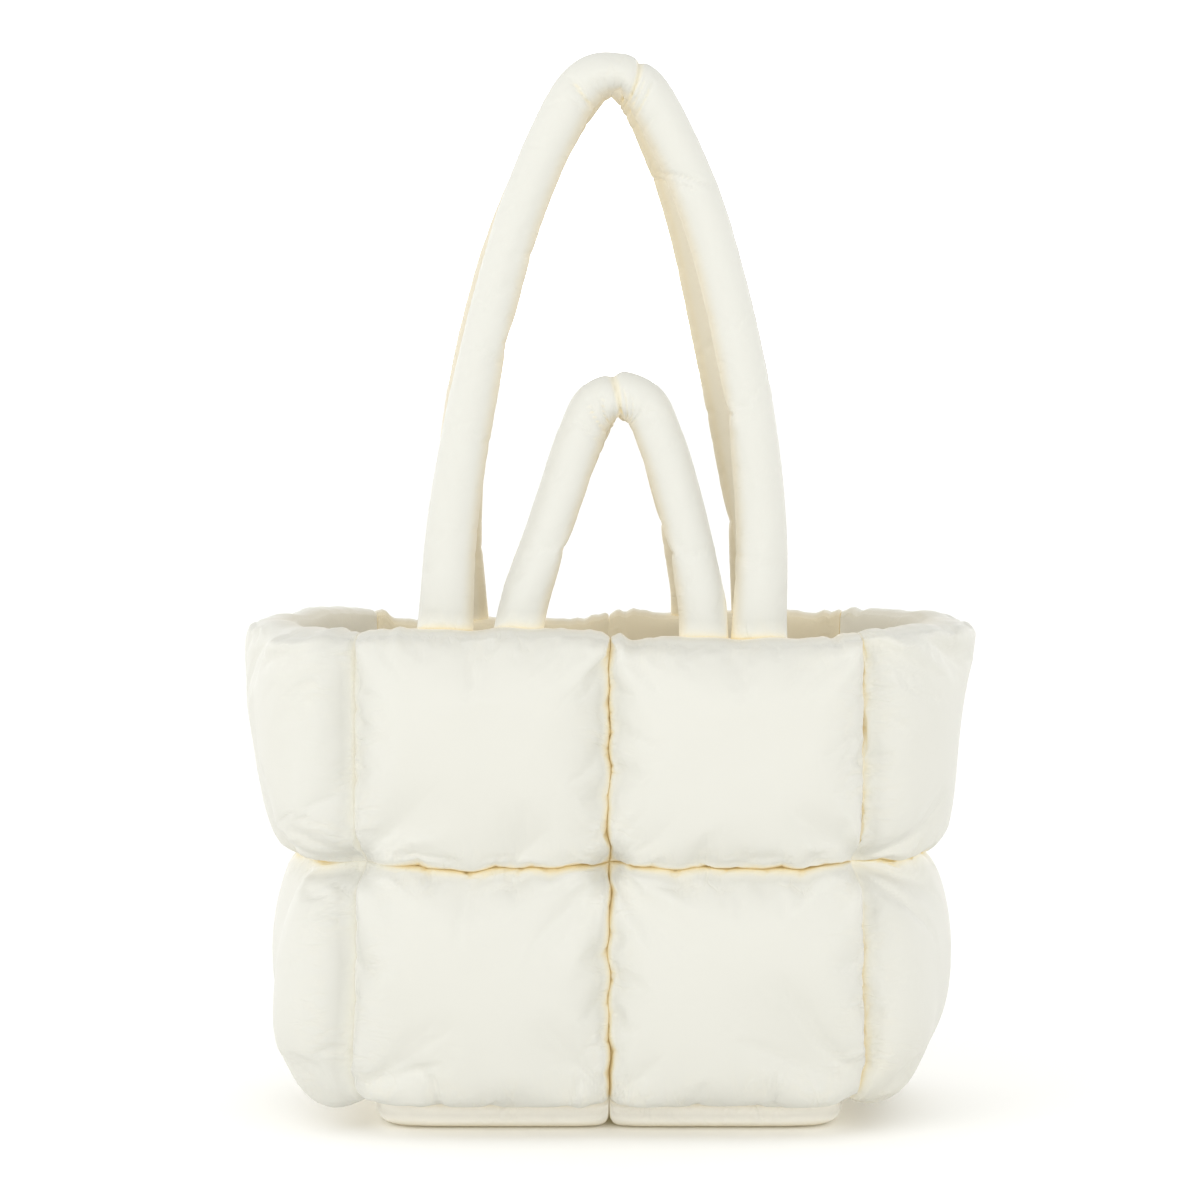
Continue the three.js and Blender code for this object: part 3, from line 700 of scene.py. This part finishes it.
def strap_dents(creases, peak, seed, along, turn):
    """Depth of a strap's creases and puckers, with and without the point inside its bend."""
    chance = np.random.default_rng(seed)
    rows = list(creases)
    place = along[0]
    while place < along[-1]:
        place += chance.uniform(*PUCKER_STEP)
        depth, wide = chance.uniform(*PUCKER_DEPTH), chance.uniform(*PUCKER_WIDTH)
        rows.append((place, chance.uniform(*PUCKER_SLANT), depth, wide, PUCKER_ROUND))
    dents = np.zeros((len(along), len(turn)))
    by_seam = SEAM_SHARE + (1 - SEAM_SHARE) * smoothstep(turn, *SEAM_TURN)
    for place, slant, depth, wide, reach in rows:
        off = along[:, None] - place - slant * (1 - np.cos(turn))
        round_it = (1 - smoothstep(turn, CREASE_CORE * reach, reach)) * by_seam
        dents = np.maximum(dents, depth * np.exp(-np.abs(off / wide)) * round_it)
    place, depth, wide, reach = peak
    drawn = np.exp(-np.abs((along[:, None] - place) / wide))
    drawn = depth * drawn * (1 - smoothstep(turn, PEAK_CORE * reach, reach))
    return dents + drawn, dents


def strap_size(tube, to_foot, to_top):
    """Width and depth of a strap along it."""
    filled = shoulder(to_foot / FOOT_REACH, FOOT_POWER)
    bent = np.maximum(0, 1 - to_top / TOP_REACH) ** 2
    tapered = np.minimum(1, to_foot / tube["taper"])
    leg = tube["leg_width"] + (tube["width"] - tube["leg_width"]) * tapered
    width = tube["foot_width"] + (leg - tube["foot_width"]) * filled
    width = width + (tube["top_width"] - width) * bent
    return width, tube["foot_depth"] + (tube["depth"] - tube["foot_depth"]) * filled


def strap_sheet(node):
    """Rings of points round a strap, the same rings when it lies straight, its dents and marks."""
    wall, arch, tube, creases, peak, *pose, seed = STRAPS[node]
    sag, outward = (FRONT_SAG, -1) if wall == "front" else (BACK_SAG[::-1], 1)
    line = strap_line(arch, sag, outward, *pose)
    run = np.concatenate([[0], np.cumsum(np.linalg.norm(np.diff(line, axis=0), axis=1))])
    length = run[-1]
    spread = np.linspace(-1, 1, int(length / RING_STEP) | 1)
    at = (1 + np.sign(spread) * np.abs(spread) ** RING_CROWDING) * length / 2
    centre = np.stack([np.interp(at, run, line[:, i]) for i in range(3)], -1)
    tangent = unit(np.gradient(centre, at, axis=0))
    tangent[0], tangent[-1] = (0, 0, 1), (0, 0, -1)
    side = np.array((0.0, -1.0, 0.0))
    inside = unit(np.cross(tangent, side))
    from_top = at - length / 2
    to_foot = length / 2 - np.abs(from_top)
    width, depth = strap_size(tube, to_foot, np.abs(from_top))
    angle = 2 * np.pi * np.arange(RING_SIDES) / RING_SIDES
    turn = np.minimum(angle, 2 * np.pi - angle)
    drawn, dents = strap_dents(creases, peak, seed, from_top, turn)
    off_foot = smoothstep(to_foot, 0, FOOT_REACH)[:, None]
    dents *= off_foot
    half_width = width[:, None] / 2 - drawn * off_foot
    half_depth = half_width * depth[:, None] / width[:, None]
    reach, cross = half_width * np.cos(angle), half_depth * np.sin(angle)
    points = centre[:, None] + inside[:, None] * reach[..., None] + side * cross[..., None]
    steps = np.linalg.norm(np.diff(points, axis=0), axis=-1)
    run = np.concatenate([np.zeros((1, RING_SIDES)), np.cumsum(steps, axis=0)])
    run += STRAP_EASE * (run[:, RING_SIDES // 2, None] - run)
    straight = np.stack([reach, cross, run], -1)
    # Painted shade on the inside of the bend and on the front-facing side of the rear straps.
    tint = STRAP_PAINTED_SHADE * (1 - smoothstep(turn, *STRAP_SHADE_TURN))
    tint = tint + (wall == "back") * REAR_PAINTED_SHADE * smoothstep(np.sin(angle), *REAR_TURN)
    bent = np.exp(-(from_top / TOP_REACH) ** 2)[:, None]
    # The crease mark paints shade in the strap's deeper creases.
    marks = {
        "lining": np.broadcast_to(tint, dents.shape),
        "crease": STRAP_CREASE_SHADE * smoothstep(dents, *HELD_CREASE),
        "upright_puckers": np.broadcast_to(near(to_foot)[:, None], dents.shape),
        "level_puckers": STRAP_PUCKERS * np.maximum(1 - smoothstep(turn, *STRAP_PUCKER_TURN), bent),
    }
    return SimpleNamespace(points=points, straight=straight, dents=dents, marks=marks)


def strap_faces(rings, sides):
    """Quads round a strap, and the rows and columns of their corners."""
    corner_rows, corner_columns = quad_grid(rings, sides, wrap_columns=True)
    faces = (corner_rows * sides + corner_columns % sides)[:, ::-1]
    return faces, corner_rows, corner_columns


def strap_body(points, marks):
    """Closes the rings of a strap into one body."""
    rings, sides = points.shape[:2]
    faces, corner_rows, corner_columns = strap_faces(rings, sides)
    loop = np.concatenate([points, points[:, :1]], axis=1)
    u, v = run_length(loop, 1), run_length(points, 0)
    uvs = np.stack([u[corner_columns], v[corner_rows]], -1)[:, ::-1]
    last = (rings - 1) * sides
    ends = [list(range(sides)), list(range(last + sides - 1, last - 1, -1))]
    return points.reshape(-1, 3), faces, uvs, ends, marks


# Blender objects

def make_piece(node, body, material):
    """Adds one sewn piece that stands for the solid of the same node."""
    points, faces, uvs, ends, marks = body
    mesh = bpy.data.meshes.new(f"{node}_cloth")
    mesh.from_pydata((points * MM).tolist(), [], faces.tolist() + ends)
    layer = mesh.uv_layers.new(name="cloth")
    flat = np.zeros((len(mesh.loops), 2))
    flat[:uvs.shape[0] * 4] = uvs.reshape(-1, 2) * MM
    layer.data.foreach_set("uv", flat.ravel())
    for name, values in marks.items():
        mesh.attributes.new(name, "FLOAT", "POINT").data.foreach_set("value", values.ravel())
    mesh.polygons.foreach_set("use_smooth", np.ones(len(mesh.polygons), bool))
    mesh.materials.append(material)
    mesh.update()
    piece = bpy.data.objects.new(f"{node}_cloth", mesh)
    bpy.context.scene.collection.objects.link(piece)
    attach(piece, "root")
    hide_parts(node)


class Wire:
    """A shader socket that takes part in Python expressions."""

    def __init__(self, tree, socket=None):
        self.tree = tree
        self.socket = socket

    def node(self, kind, settings=None, inputs=None, output=0):
        """Adds a node, sets its settings first, then values or wires on its sockets."""
        made = self.tree.nodes.new(kind)
        for name, value in (settings or {}).items():
            setattr(made, name, value)
        for name, value in (inputs or {}).items():
            if isinstance(value, Wire):
                self.tree.links.new(value.socket, made.inputs[name])
            else:
                made.inputs[name].default_value = value
        return Wire(self.tree, made.outputs[output] if made.outputs else None)

    def maths(self, operation, first, second=0):
        """Adds a Math node."""
        return self.node("ShaderNodeMath", {"operation": operation}, {0: first, 1: second})

    def __add__(self, other):
        return self.maths("ADD", self, other)

    def __mul__(self, other):
        return self.maths("MULTIPLY", self, other)

    def __sub__(self, other):
        return self.maths("SUBTRACT", self, other)

    def __rsub__(self, other):
        return self.maths("SUBTRACT", other, self)

    __radd__ = __add__
    __rmul__ = __mul__

    def mix(self, first, second):
        """Blends two colours by this wire's value."""
        return self.node(
            "ShaderNodeMix", {"data_type": "RGBA"}, {0: self, 6: first, 7: second}, output=2)

    def eased(self, limits):
        """Maps this wire's value smoothly from one range to another."""
        return self.node(
            "ShaderNodeMapRange", {"interpolation_type": "SMOOTHSTEP"}, {"Value": self, **limits})

    def noise(self, kind):
        """Noise at the places that this wire gives."""
        return self.node("ShaderNodeTexNoise", {}, {"Vector": self, **kind})

    def part(self, axis):
        """One coordinate of the places that this wire gives."""
        return self.node("ShaderNodeSeparateXYZ", {}, {0: self}, output=axis)

    def bumped(self, kind, normal=None):
        """Normal of a surface that this wire's value raises."""
        inputs = {**kind, "Height": self}
        if normal:
            inputs["Normal"] = normal
        return self.node("ShaderNodeBump", {}, inputs)


def cloth_material(name, colour, tint, settings):
    """Down-proof woven cloth: weave, small crumples, painted shade in a deeper warm tone in the sewn
    creases, folds and lining, and painted glow.
    """
    material = bpy.data.materials.new(name)
    material.use_nodes = True
    material.node_tree.nodes.clear()
    start = Wire(material.node_tree)
    place = start.node("ShaderNodeTexCoord", output="Object")
    thread = start.node("ShaderNodeUVMap", {"uv_map": "cloth"})
    cluster = place.noise(CLUSTERS).eased(CLUSTER_RANGE)
    patch = place.noise(PATCHES)

    def mark(name):
        return start.node("ShaderNodeAttribute", {"attribute_name": name}, output="Fac")

    def puckers(name, stretch):
        """Height of fine puckers, and how far a place lies down in one."""
        where = thread.node("ShaderNodeVectorMath", {"operation": "MULTIPLY"}, {0: thread, 1: stretch})
        noise = where.noise(PUCKERS)
        off = start.maths("ABSOLUTE", noise - 0.5)
        line = start.maths("MAXIMUM", 1 - PUCKER_SHARPNESS * off)
        strength = mark(name) * cluster
        return strength * (noise - PUCKER_DIP * line), strength * line

    def threads(axis):
        return start.maths("SINE", thread.part(axis) * (2 * math.pi / settings.weave_pitch))

    upright, upright_line = puckers("upright_puckers", (PUCKERS_ACROSS, PUCKERS_ALONG, 0))
    level, level_line = puckers("level_puckers", (PUCKERS_ALONG, PUCKERS_ACROSS, 0))
    shade = (patch * PATCH_SHARE).mix(colour, settings.deep_colour)
    # Painted shade: the lining mark turns the cloth to the darker, warmer lining colour.
    shade = mark("lining").mix(shade, settings.lining_shade_colour)
    # How open the sky is round each point sets the painted shade in the folds and the seams.
    open_sky = start.node(
        "ShaderNodeAmbientOcclusion", {"samples": FOLD_SAMPLES}, {"Distance": FOLD_DISTANCE},
        output="AO")
    hidden = open_sky.eased(HIDDEN_RANGE) + mark("crease")
    hidden = hidden * (1 - settings.corner_shade_fade * mark("corner"))
    # Painted shade also follows the lines of the fine puckers.
    hidden = hidden + settings.pucker_shade_tint * (upright_line + level_line)
    hidden = start.maths("MINIMUM", hidden, 1)
    # Painted shade: where the cloth is hidden, in seams, folds and puckers, it turns to the crease colour.
    tone = (hidden * tint).mix(shade, settings.crease_shade_colour)
    # Painted glow, as emission: over all the cloth, more in the folds, and in the crease colour deep in the
    # seams.
    painted_fold_glow = settings.painted_fold_light * (1 - open_sky)
    glow = ((settings.painted_cloth_glow + painted_fold_glow) * (1 - hidden)).mix(BLACK, shade)
    glow = (hidden * settings.painted_crease_glow).mix(glow, settings.crease_shade_colour)
    normal = (threads("X") * threads("Y")).bumped(WEAVE_BUMP)
    normal = place.noise(CRUMPLES).bumped(CRUMPLE_BUMP, normal)
    normal = (upright + level).bumped(PUCKER_BUMP, normal)
    shader = start.node("ShaderNodeBsdfPrincipled", {}, {
        "Base Color": tone, "Roughness": ROUGHNESS + ROUGHNESS_SPREAD * patch, "Normal": normal,
        "Emission Color": glow, "Emission Strength": 1.0, **SHEEN})
    start.node("ShaderNodeOutputMaterial", {}, {"Surface": shader})
    return material


def held_sheet(name, points, faces, held, spare, rest=None):
    """A sheet of cloth for the simulation, held along its seams, with spare cloth by weight."""
    mesh = bpy.data.meshes.new(name)
    mesh.from_pydata((points.reshape(-1, 3) * MM).tolist(), [], faces.tolist())
    sheet = bpy.data.objects.new(name, mesh)
    bpy.context.scene.collection.objects.link(sheet)
    for group_name, weights in (("held", held), ("spare", spare)):
        group = sheet.vertex_groups.new(name=group_name)
        levels = np.round(weights.ravel(), 2)
        for level in np.unique(levels):
            if level > 0:
                group.add(np.flatnonzero(levels == level).tolist(), float(level), "REPLACE")
    if rest is not None:
        sheet.shape_key_add(name="Basis")
        key = sheet.shape_key_add(name="rest")
        key.data.foreach_set("co", (rest * MM).ravel())
    return sheet


def settle(sheets, settings, shrink):
    """Blows up the sheets together, so that their spare cloth buckles, and takes them away."""
    for sheet in sheets:
        cloth = sheet.modifiers.new("cloth", "CLOTH")
        fabric = cloth.settings
        for name, value in FABRIC.items():
            setattr(fabric, name, value)
        fabric.bending_stiffness = settings.stiffness
        fabric.vertex_group_mass = "held"
        fabric.use_pressure = True
        fabric.uniform_pressure_force = settings.pressure
        fabric.vertex_group_shrink = "spare"
        fabric.shrink_min, fabric.shrink_max = shrink
        fabric.effector_weights.gravity = 0
        if sheet.data.shape_keys:
            fabric.rest_shape_key = sheet.data.shape_keys.key_blocks["rest"]
        cloth.collision_settings.use_collision = False
        cloth.point_cache.frame_start, cloth.point_cache.frame_end = 1, FRAMES
    scene = bpy.context.scene
    for number in range(1, FRAMES + 1):
        scene.frame_set(number)
    graph = bpy.context.evaluated_depsgraph_get()
    settled = []
    for sheet in sheets:
        mesh = sheet.evaluated_get(graph).data
        places = np.empty(len(mesh.vertices) * 3)
        mesh.vertices.foreach_get("co", places)
        settled.append(places.reshape(-1, 3) / MM)
    for sheet in sheets:
        mesh = sheet.data
        bpy.data.objects.remove(sheet)
        bpy.data.meshes.remove(mesh)
    scene.frame_set(1)
    return settled


def limited(before, after, most):
    """Moves points from before towards after by no more than the given distance."""
    move = after.reshape(before.shape) - before
    size = np.linalg.norm(move, axis=-1, keepdims=True)
    return before + move * np.minimum(1, most / np.maximum(size, 1e-9))


def bell(distance, share, reach):
    """Falls from a share at no distance to nothing well beyond the reach."""
    return share * np.exp(-(distance / reach) ** 2)


def sew_walls(nodes, settings, material):
    walls = [wall_sheets(node) for node in nodes]
    sheets = []
    for node, wall in zip(nodes, walls):
        corner_rows, corner_columns = quad_grid(*wall.outer.shape[:2])
        faces = corner_rows * wall.outer.shape[1] + corner_columns
        spare = bell(wall.to_seam, *SEAM_SPARE) + bell(wall.to_corner, *CORNER_SPARE)
        sheets.append(held_sheet(node, wall.outer, faces, wall.held, spare))
    shrink = (-settings.face_spare, -settings.seam_spare)
    for wall, places in zip(walls, settle(sheets, settings, shrink)):
        wall.outer = kept_apart(wall, limited(wall.outer, places, WALL_SHIFT))
    for node, wall in zip(nodes, walls):
        body = wall_body(wall.outer, wall.inner, wall.marks, wall.lining)
        make_piece(node, body, material)


def sew_straps(nodes, settings, material):
    straps = [strap_sheet(node) for node in nodes]
    sheets = []
    for node, strap in zip(nodes, straps):
        faces = strap_faces(*strap.dents.shape)[0]
        held = smoothstep(strap.dents, *HELD_CREASE)
        held[:FOOT_RINGS] = held[-FOOT_RINGS:] = 1
        held[:, RING_SIDES // 2] = 1
        spare = np.zeros(strap.dents.shape)
        sheets.append(held_sheet(node, strap.points, faces, held, spare, strap.straight))
    shrink = (-settings.strap_spare, -settings.strap_spare)
    for strap, places in zip(straps, settle(sheets, settings, shrink)):
        strap.points = limited(strap.points, places, STRAP_SHIFT)
    for node, strap in zip(nodes, straps):
        make_piece(node, strap_body(strap.points, strap.marks), material)


def aimed(item, place, target):
    """Puts a light or a camera at a place, looking at a target."""
    item.location = place
    item.rotation_euler = (Vector(target) - item.location).to_track_quat("-Z", "Y").to_euler()
    bpy.context.scene.collection.objects.link(item)


def lay_floor():
    """Adds the pale floor just under the bag."""
    mesh = bpy.data.meshes.new("floor")
    corners = [(x * FLOOR_HALF, y * FLOOR_HALF, 0) for x, y in ((-1, -1), (1, -1), (1, 1), (-1, 1))]
    mesh.from_pydata(corners, [], [(0, 1, 2, 3)])
    floor = bpy.data.objects.new("floor", mesh)
    floor.location.z = -FLOOR_DROP
    bpy.context.scene.collection.objects.link(floor)
    pale = bpy.data.materials.new("pale_floor")
    pale.use_nodes = True
    for name, value in FLOOR.items():
        pale.node_tree.nodes["Principled BSDF"].inputs[name].default_value = value
    mesh.materials.append(pale)


def light_studio():
    """Adds the soft sky and the soft lights."""
    world = bpy.data.worlds.new("studio")
    world.use_nodes = True
    sky = world.node_tree.nodes["Background"]
    way = Wire(world.node_tree).node("ShaderNodeTexCoord", output="Generated")
    strength = way.part("Z").eased(SKY_BAND) * (1 - SKY_LEFT * way.part("X"))
    world.node_tree.links.new(strength.socket, sky.inputs["Strength"])
    sky.inputs["Color"].default_value = SKY_COLOUR
    bpy.context.scene.world = world
    for name, energy, size, place in LIGHTS:
        lamp = bpy.data.lights.new(name, "AREA")
        lamp.shape = "SQUARE"
        lamp.size = size
        lamp.energy = energy
        aimed(bpy.data.objects.new(name, lamp), place, LIGHT_AIM)


# Add-on

def colour_setting(name, description, default):
    """A colour that a user may change."""
    return bpy.props.FloatVectorProperty(
        name=name, description=description, default=(*default, 1.0), size=4, min=0, max=1,
        subtype="COLOR")


def share_setting(name, description, default, most=1):
    """A share that a user may change."""
    return bpy.props.FloatProperty(
        name=name, description=description, default=default, min=0, max=most, subtype="FACTOR")


class PaddedBagSettings(bpy.types.PropertyGroup):
    """Colours and cloth of the padded shoulder bag."""

    cloth_colour: colour_setting("Cloth colour", "Colour of the quilted walls", (0.500, 0.498, 0.458))
    strap_colour: colour_setting("Strap colour", "Colour of the straps", (0.500, 0.498, 0.458))
    # The base is painted lighter than the walls to make up for the shade under the lower puffs.
    base_painted_light_colour: colour_setting("Base colour", "Colour of the base", (0.58, 0.56, 0.505))
    deep_colour: colour_setting(
        "Patch colour", "Slightly deeper colour that the cloth varies towards",
        (0.488, 0.482, 0.434))
    # Painted shade inside the bag and on the inner sides of the straps.
    lining_shade_colour: colour_setting(
        "Lining colour", "Colour of the cloth inside the bag", (0.52, 0.46, 0.33))
    # Painted shade: warm colour standing in for shade and light caught deep in the sewn creases.
    crease_shade_colour: colour_setting(
        "Crease colour", "Colour that the cloth takes deep in the sewn creases",
        (0.84, 0.69, 0.34))
    # Share of the painted crease shade at the seams.
    crease_shade_tint: share_setting("Crease tint", "Share of the crease colour at the seams", 0.85)
    # Share of the painted crease shade that the base takes.
    base_shade_share: share_setting("Base tint", "Share of the crease tint that the base takes", 1 / 3)
    # Painted glow, as emission, in the creases.
    painted_crease_glow: share_setting(
        "Crease glow", "Light that comes through the thin cloth in the creases", 0.085)
    # Share of the painted crease shade that the corner seams lose.
    corner_shade_fade: share_setting("Corner fade", "Share of the crease tint that the corner seams lack", 0.9)
    # Painted glow, as emission, in the folds, standing in for light that the cloth throws into them.
    painted_fold_light: share_setting("Fold light", "Light that the cloth throws into its own folds", 0.6, 2)
    # Painted glow, as emission, over all the cloth, standing in for light scattered through it.
    painted_cloth_glow: share_setting("Cloth glow", "Light that the stuffing scatters back through the cloth", 0.18)
    # Painted shade along the fine puckers, in the crease colour.
    pucker_shade_tint: share_setting("Pucker tint", "Share of the crease colour in the fine puckers", 0.05)
    weave_pitch: bpy.props.FloatProperty(
        name="Weave pitch", description="Distance between threads of the cloth",
        default=0.0006, min=0.0001, max=0.01, unit="LENGTH", precision=5)
    seam_spare: share_setting("Spare cloth at seams", "Spare cloth that gathers along the seams", 0.1, 0.3)
    face_spare: share_setting("Spare cloth on faces", "Spare cloth in the middle of the puffs", 0.02, 0.3)
    strap_spare: share_setting("Spare cloth on straps", "Spare cloth along the straps", 0.006, 0.3)
    pressure: bpy.props.FloatProperty(
        name="Stuffing pressure", description="Pressure of the stuffing on the cloth",
        default=60.0, min=0, max=1000)
    stiffness: bpy.props.FloatProperty(
        name="Bending stiffness", description="Resistance of the cloth to bending",
        default=0.005, min=0, max=10)


def wall_material(settings):
    """The cloth of the walls, made once."""
    name = "quilted_cloth_look"
    found = bpy.data.materials.get(name)
    return found or cloth_material(name, settings.cloth_colour, settings.crease_shade_tint, settings)


class PADDEDBAG_OT_panels(bpy.types.Operator):
    """Sew the quilted front and back panels"""

    bl_idname = "padded_bag.panels"
    bl_label = "Front and back panels"

    def execute(self, context):
        settings = context.scene.padded_bag
        sew_walls(("front_panel", "back_panel"), settings, wall_material(settings))
        return {"FINISHED"}


class PADDEDBAG_OT_gussets(bpy.types.Operator):
    """Sew the two bowed gussets"""

    bl_idname = "padded_bag.gussets"
    bl_label = "Gussets"

    def execute(self, context):
        settings = context.scene.padded_bag
        sew_walls(("right_gusset", "left_gusset"), settings, wall_material(settings))
        return {"FINISHED"}


class PADDEDBAG_OT_base(bpy.types.Operator):
    """Sew the padded base"""

    bl_idname = "padded_bag.base"
    bl_label = "Base"

    def execute(self, context):
        settings = context.scene.padded_bag
        # The base takes a share of the painted shade of the seams.
        tint = settings.crease_shade_tint * settings.base_shade_share
        material = cloth_material("base_cloth_look", settings.base_painted_light_colour, tint, settings)
        make_piece("base_panel", wall_body(*base_sheets()), material)
        return {"FINISHED"}


class PADDEDBAG_OT_straps(bpy.types.Operator):
    """Sew the long straps and the short handles"""

    bl_idname = "padded_bag.straps"
    bl_label = "Straps and handles"

    def execute(self, context):
        settings = context.scene.padded_bag
        material = cloth_material(
            "strap_cloth_look", settings.strap_colour, settings.crease_shade_tint, settings)
        sew_straps(tuple(STRAPS), settings, material)
        return {"FINISHED"}


class PADDEDBAG_OT_stage(bpy.types.Operator):
    """Lay the pale floor and set up the soft light and the camera"""

    bl_idname = "padded_bag.stage"
    bl_label = "Studio"

    def execute(self, context):
        scene = context.scene
        scene.view_settings.view_transform = "Standard"
        lay_floor()
        light_studio()
        lens = bpy.data.cameras.new("camera")
        lens.lens = LENS
        lens.sensor_width = SENSOR
        camera = bpy.data.objects.new("camera", lens)
        aimed(camera, CAMERA_PLACE, CAMERA_AIM)
        scene.camera = camera
        return {"FINISHED"}


class PADDEDBAG_PT_sidebar(bpy.types.Panel):
    """Sidebar of the padded shoulder bag"""

    bl_idname = "PADDEDBAG_PT_sidebar"
    bl_label = "Padded Shoulder Bag"
    bl_space_type = "VIEW_3D"
    bl_region_type = "UI"
    bl_category = "Bag"

    def draw(self, context):
        settings = context.scene.padded_bag
        for name in PaddedBagSettings.__annotations__:
            self.layout.prop(settings, name)
        for step in STEPS:
            self.layout.operator(step.bl_idname)


STEPS = (
    PADDEDBAG_OT_panels,
    PADDEDBAG_OT_gussets,
    PADDEDBAG_OT_base,
    PADDEDBAG_OT_straps,
    PADDEDBAG_OT_stage,
)
CLASSES = (PaddedBagSettings, *STEPS, PADDEDBAG_PT_sidebar)


def register():
    for cls in CLASSES:
        bpy.utils.register_class(cls)
    bpy.types.Scene.padded_bag = bpy.props.PointerProperty(type=PaddedBagSettings)


def unregister():
    del bpy.types.Scene.padded_bag
    for cls in reversed(CLASSES):
        bpy.utils.unregister_class(cls)


def main():
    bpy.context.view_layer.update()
    register()
    bpy.ops.padded_bag.panels()
    bpy.ops.padded_bag.gussets()
    bpy.ops.padded_bag.base()
    bpy.ops.padded_bag.straps()
    bpy.ops.padded_bag.stage()


if __name__ == "__main__":
    main()
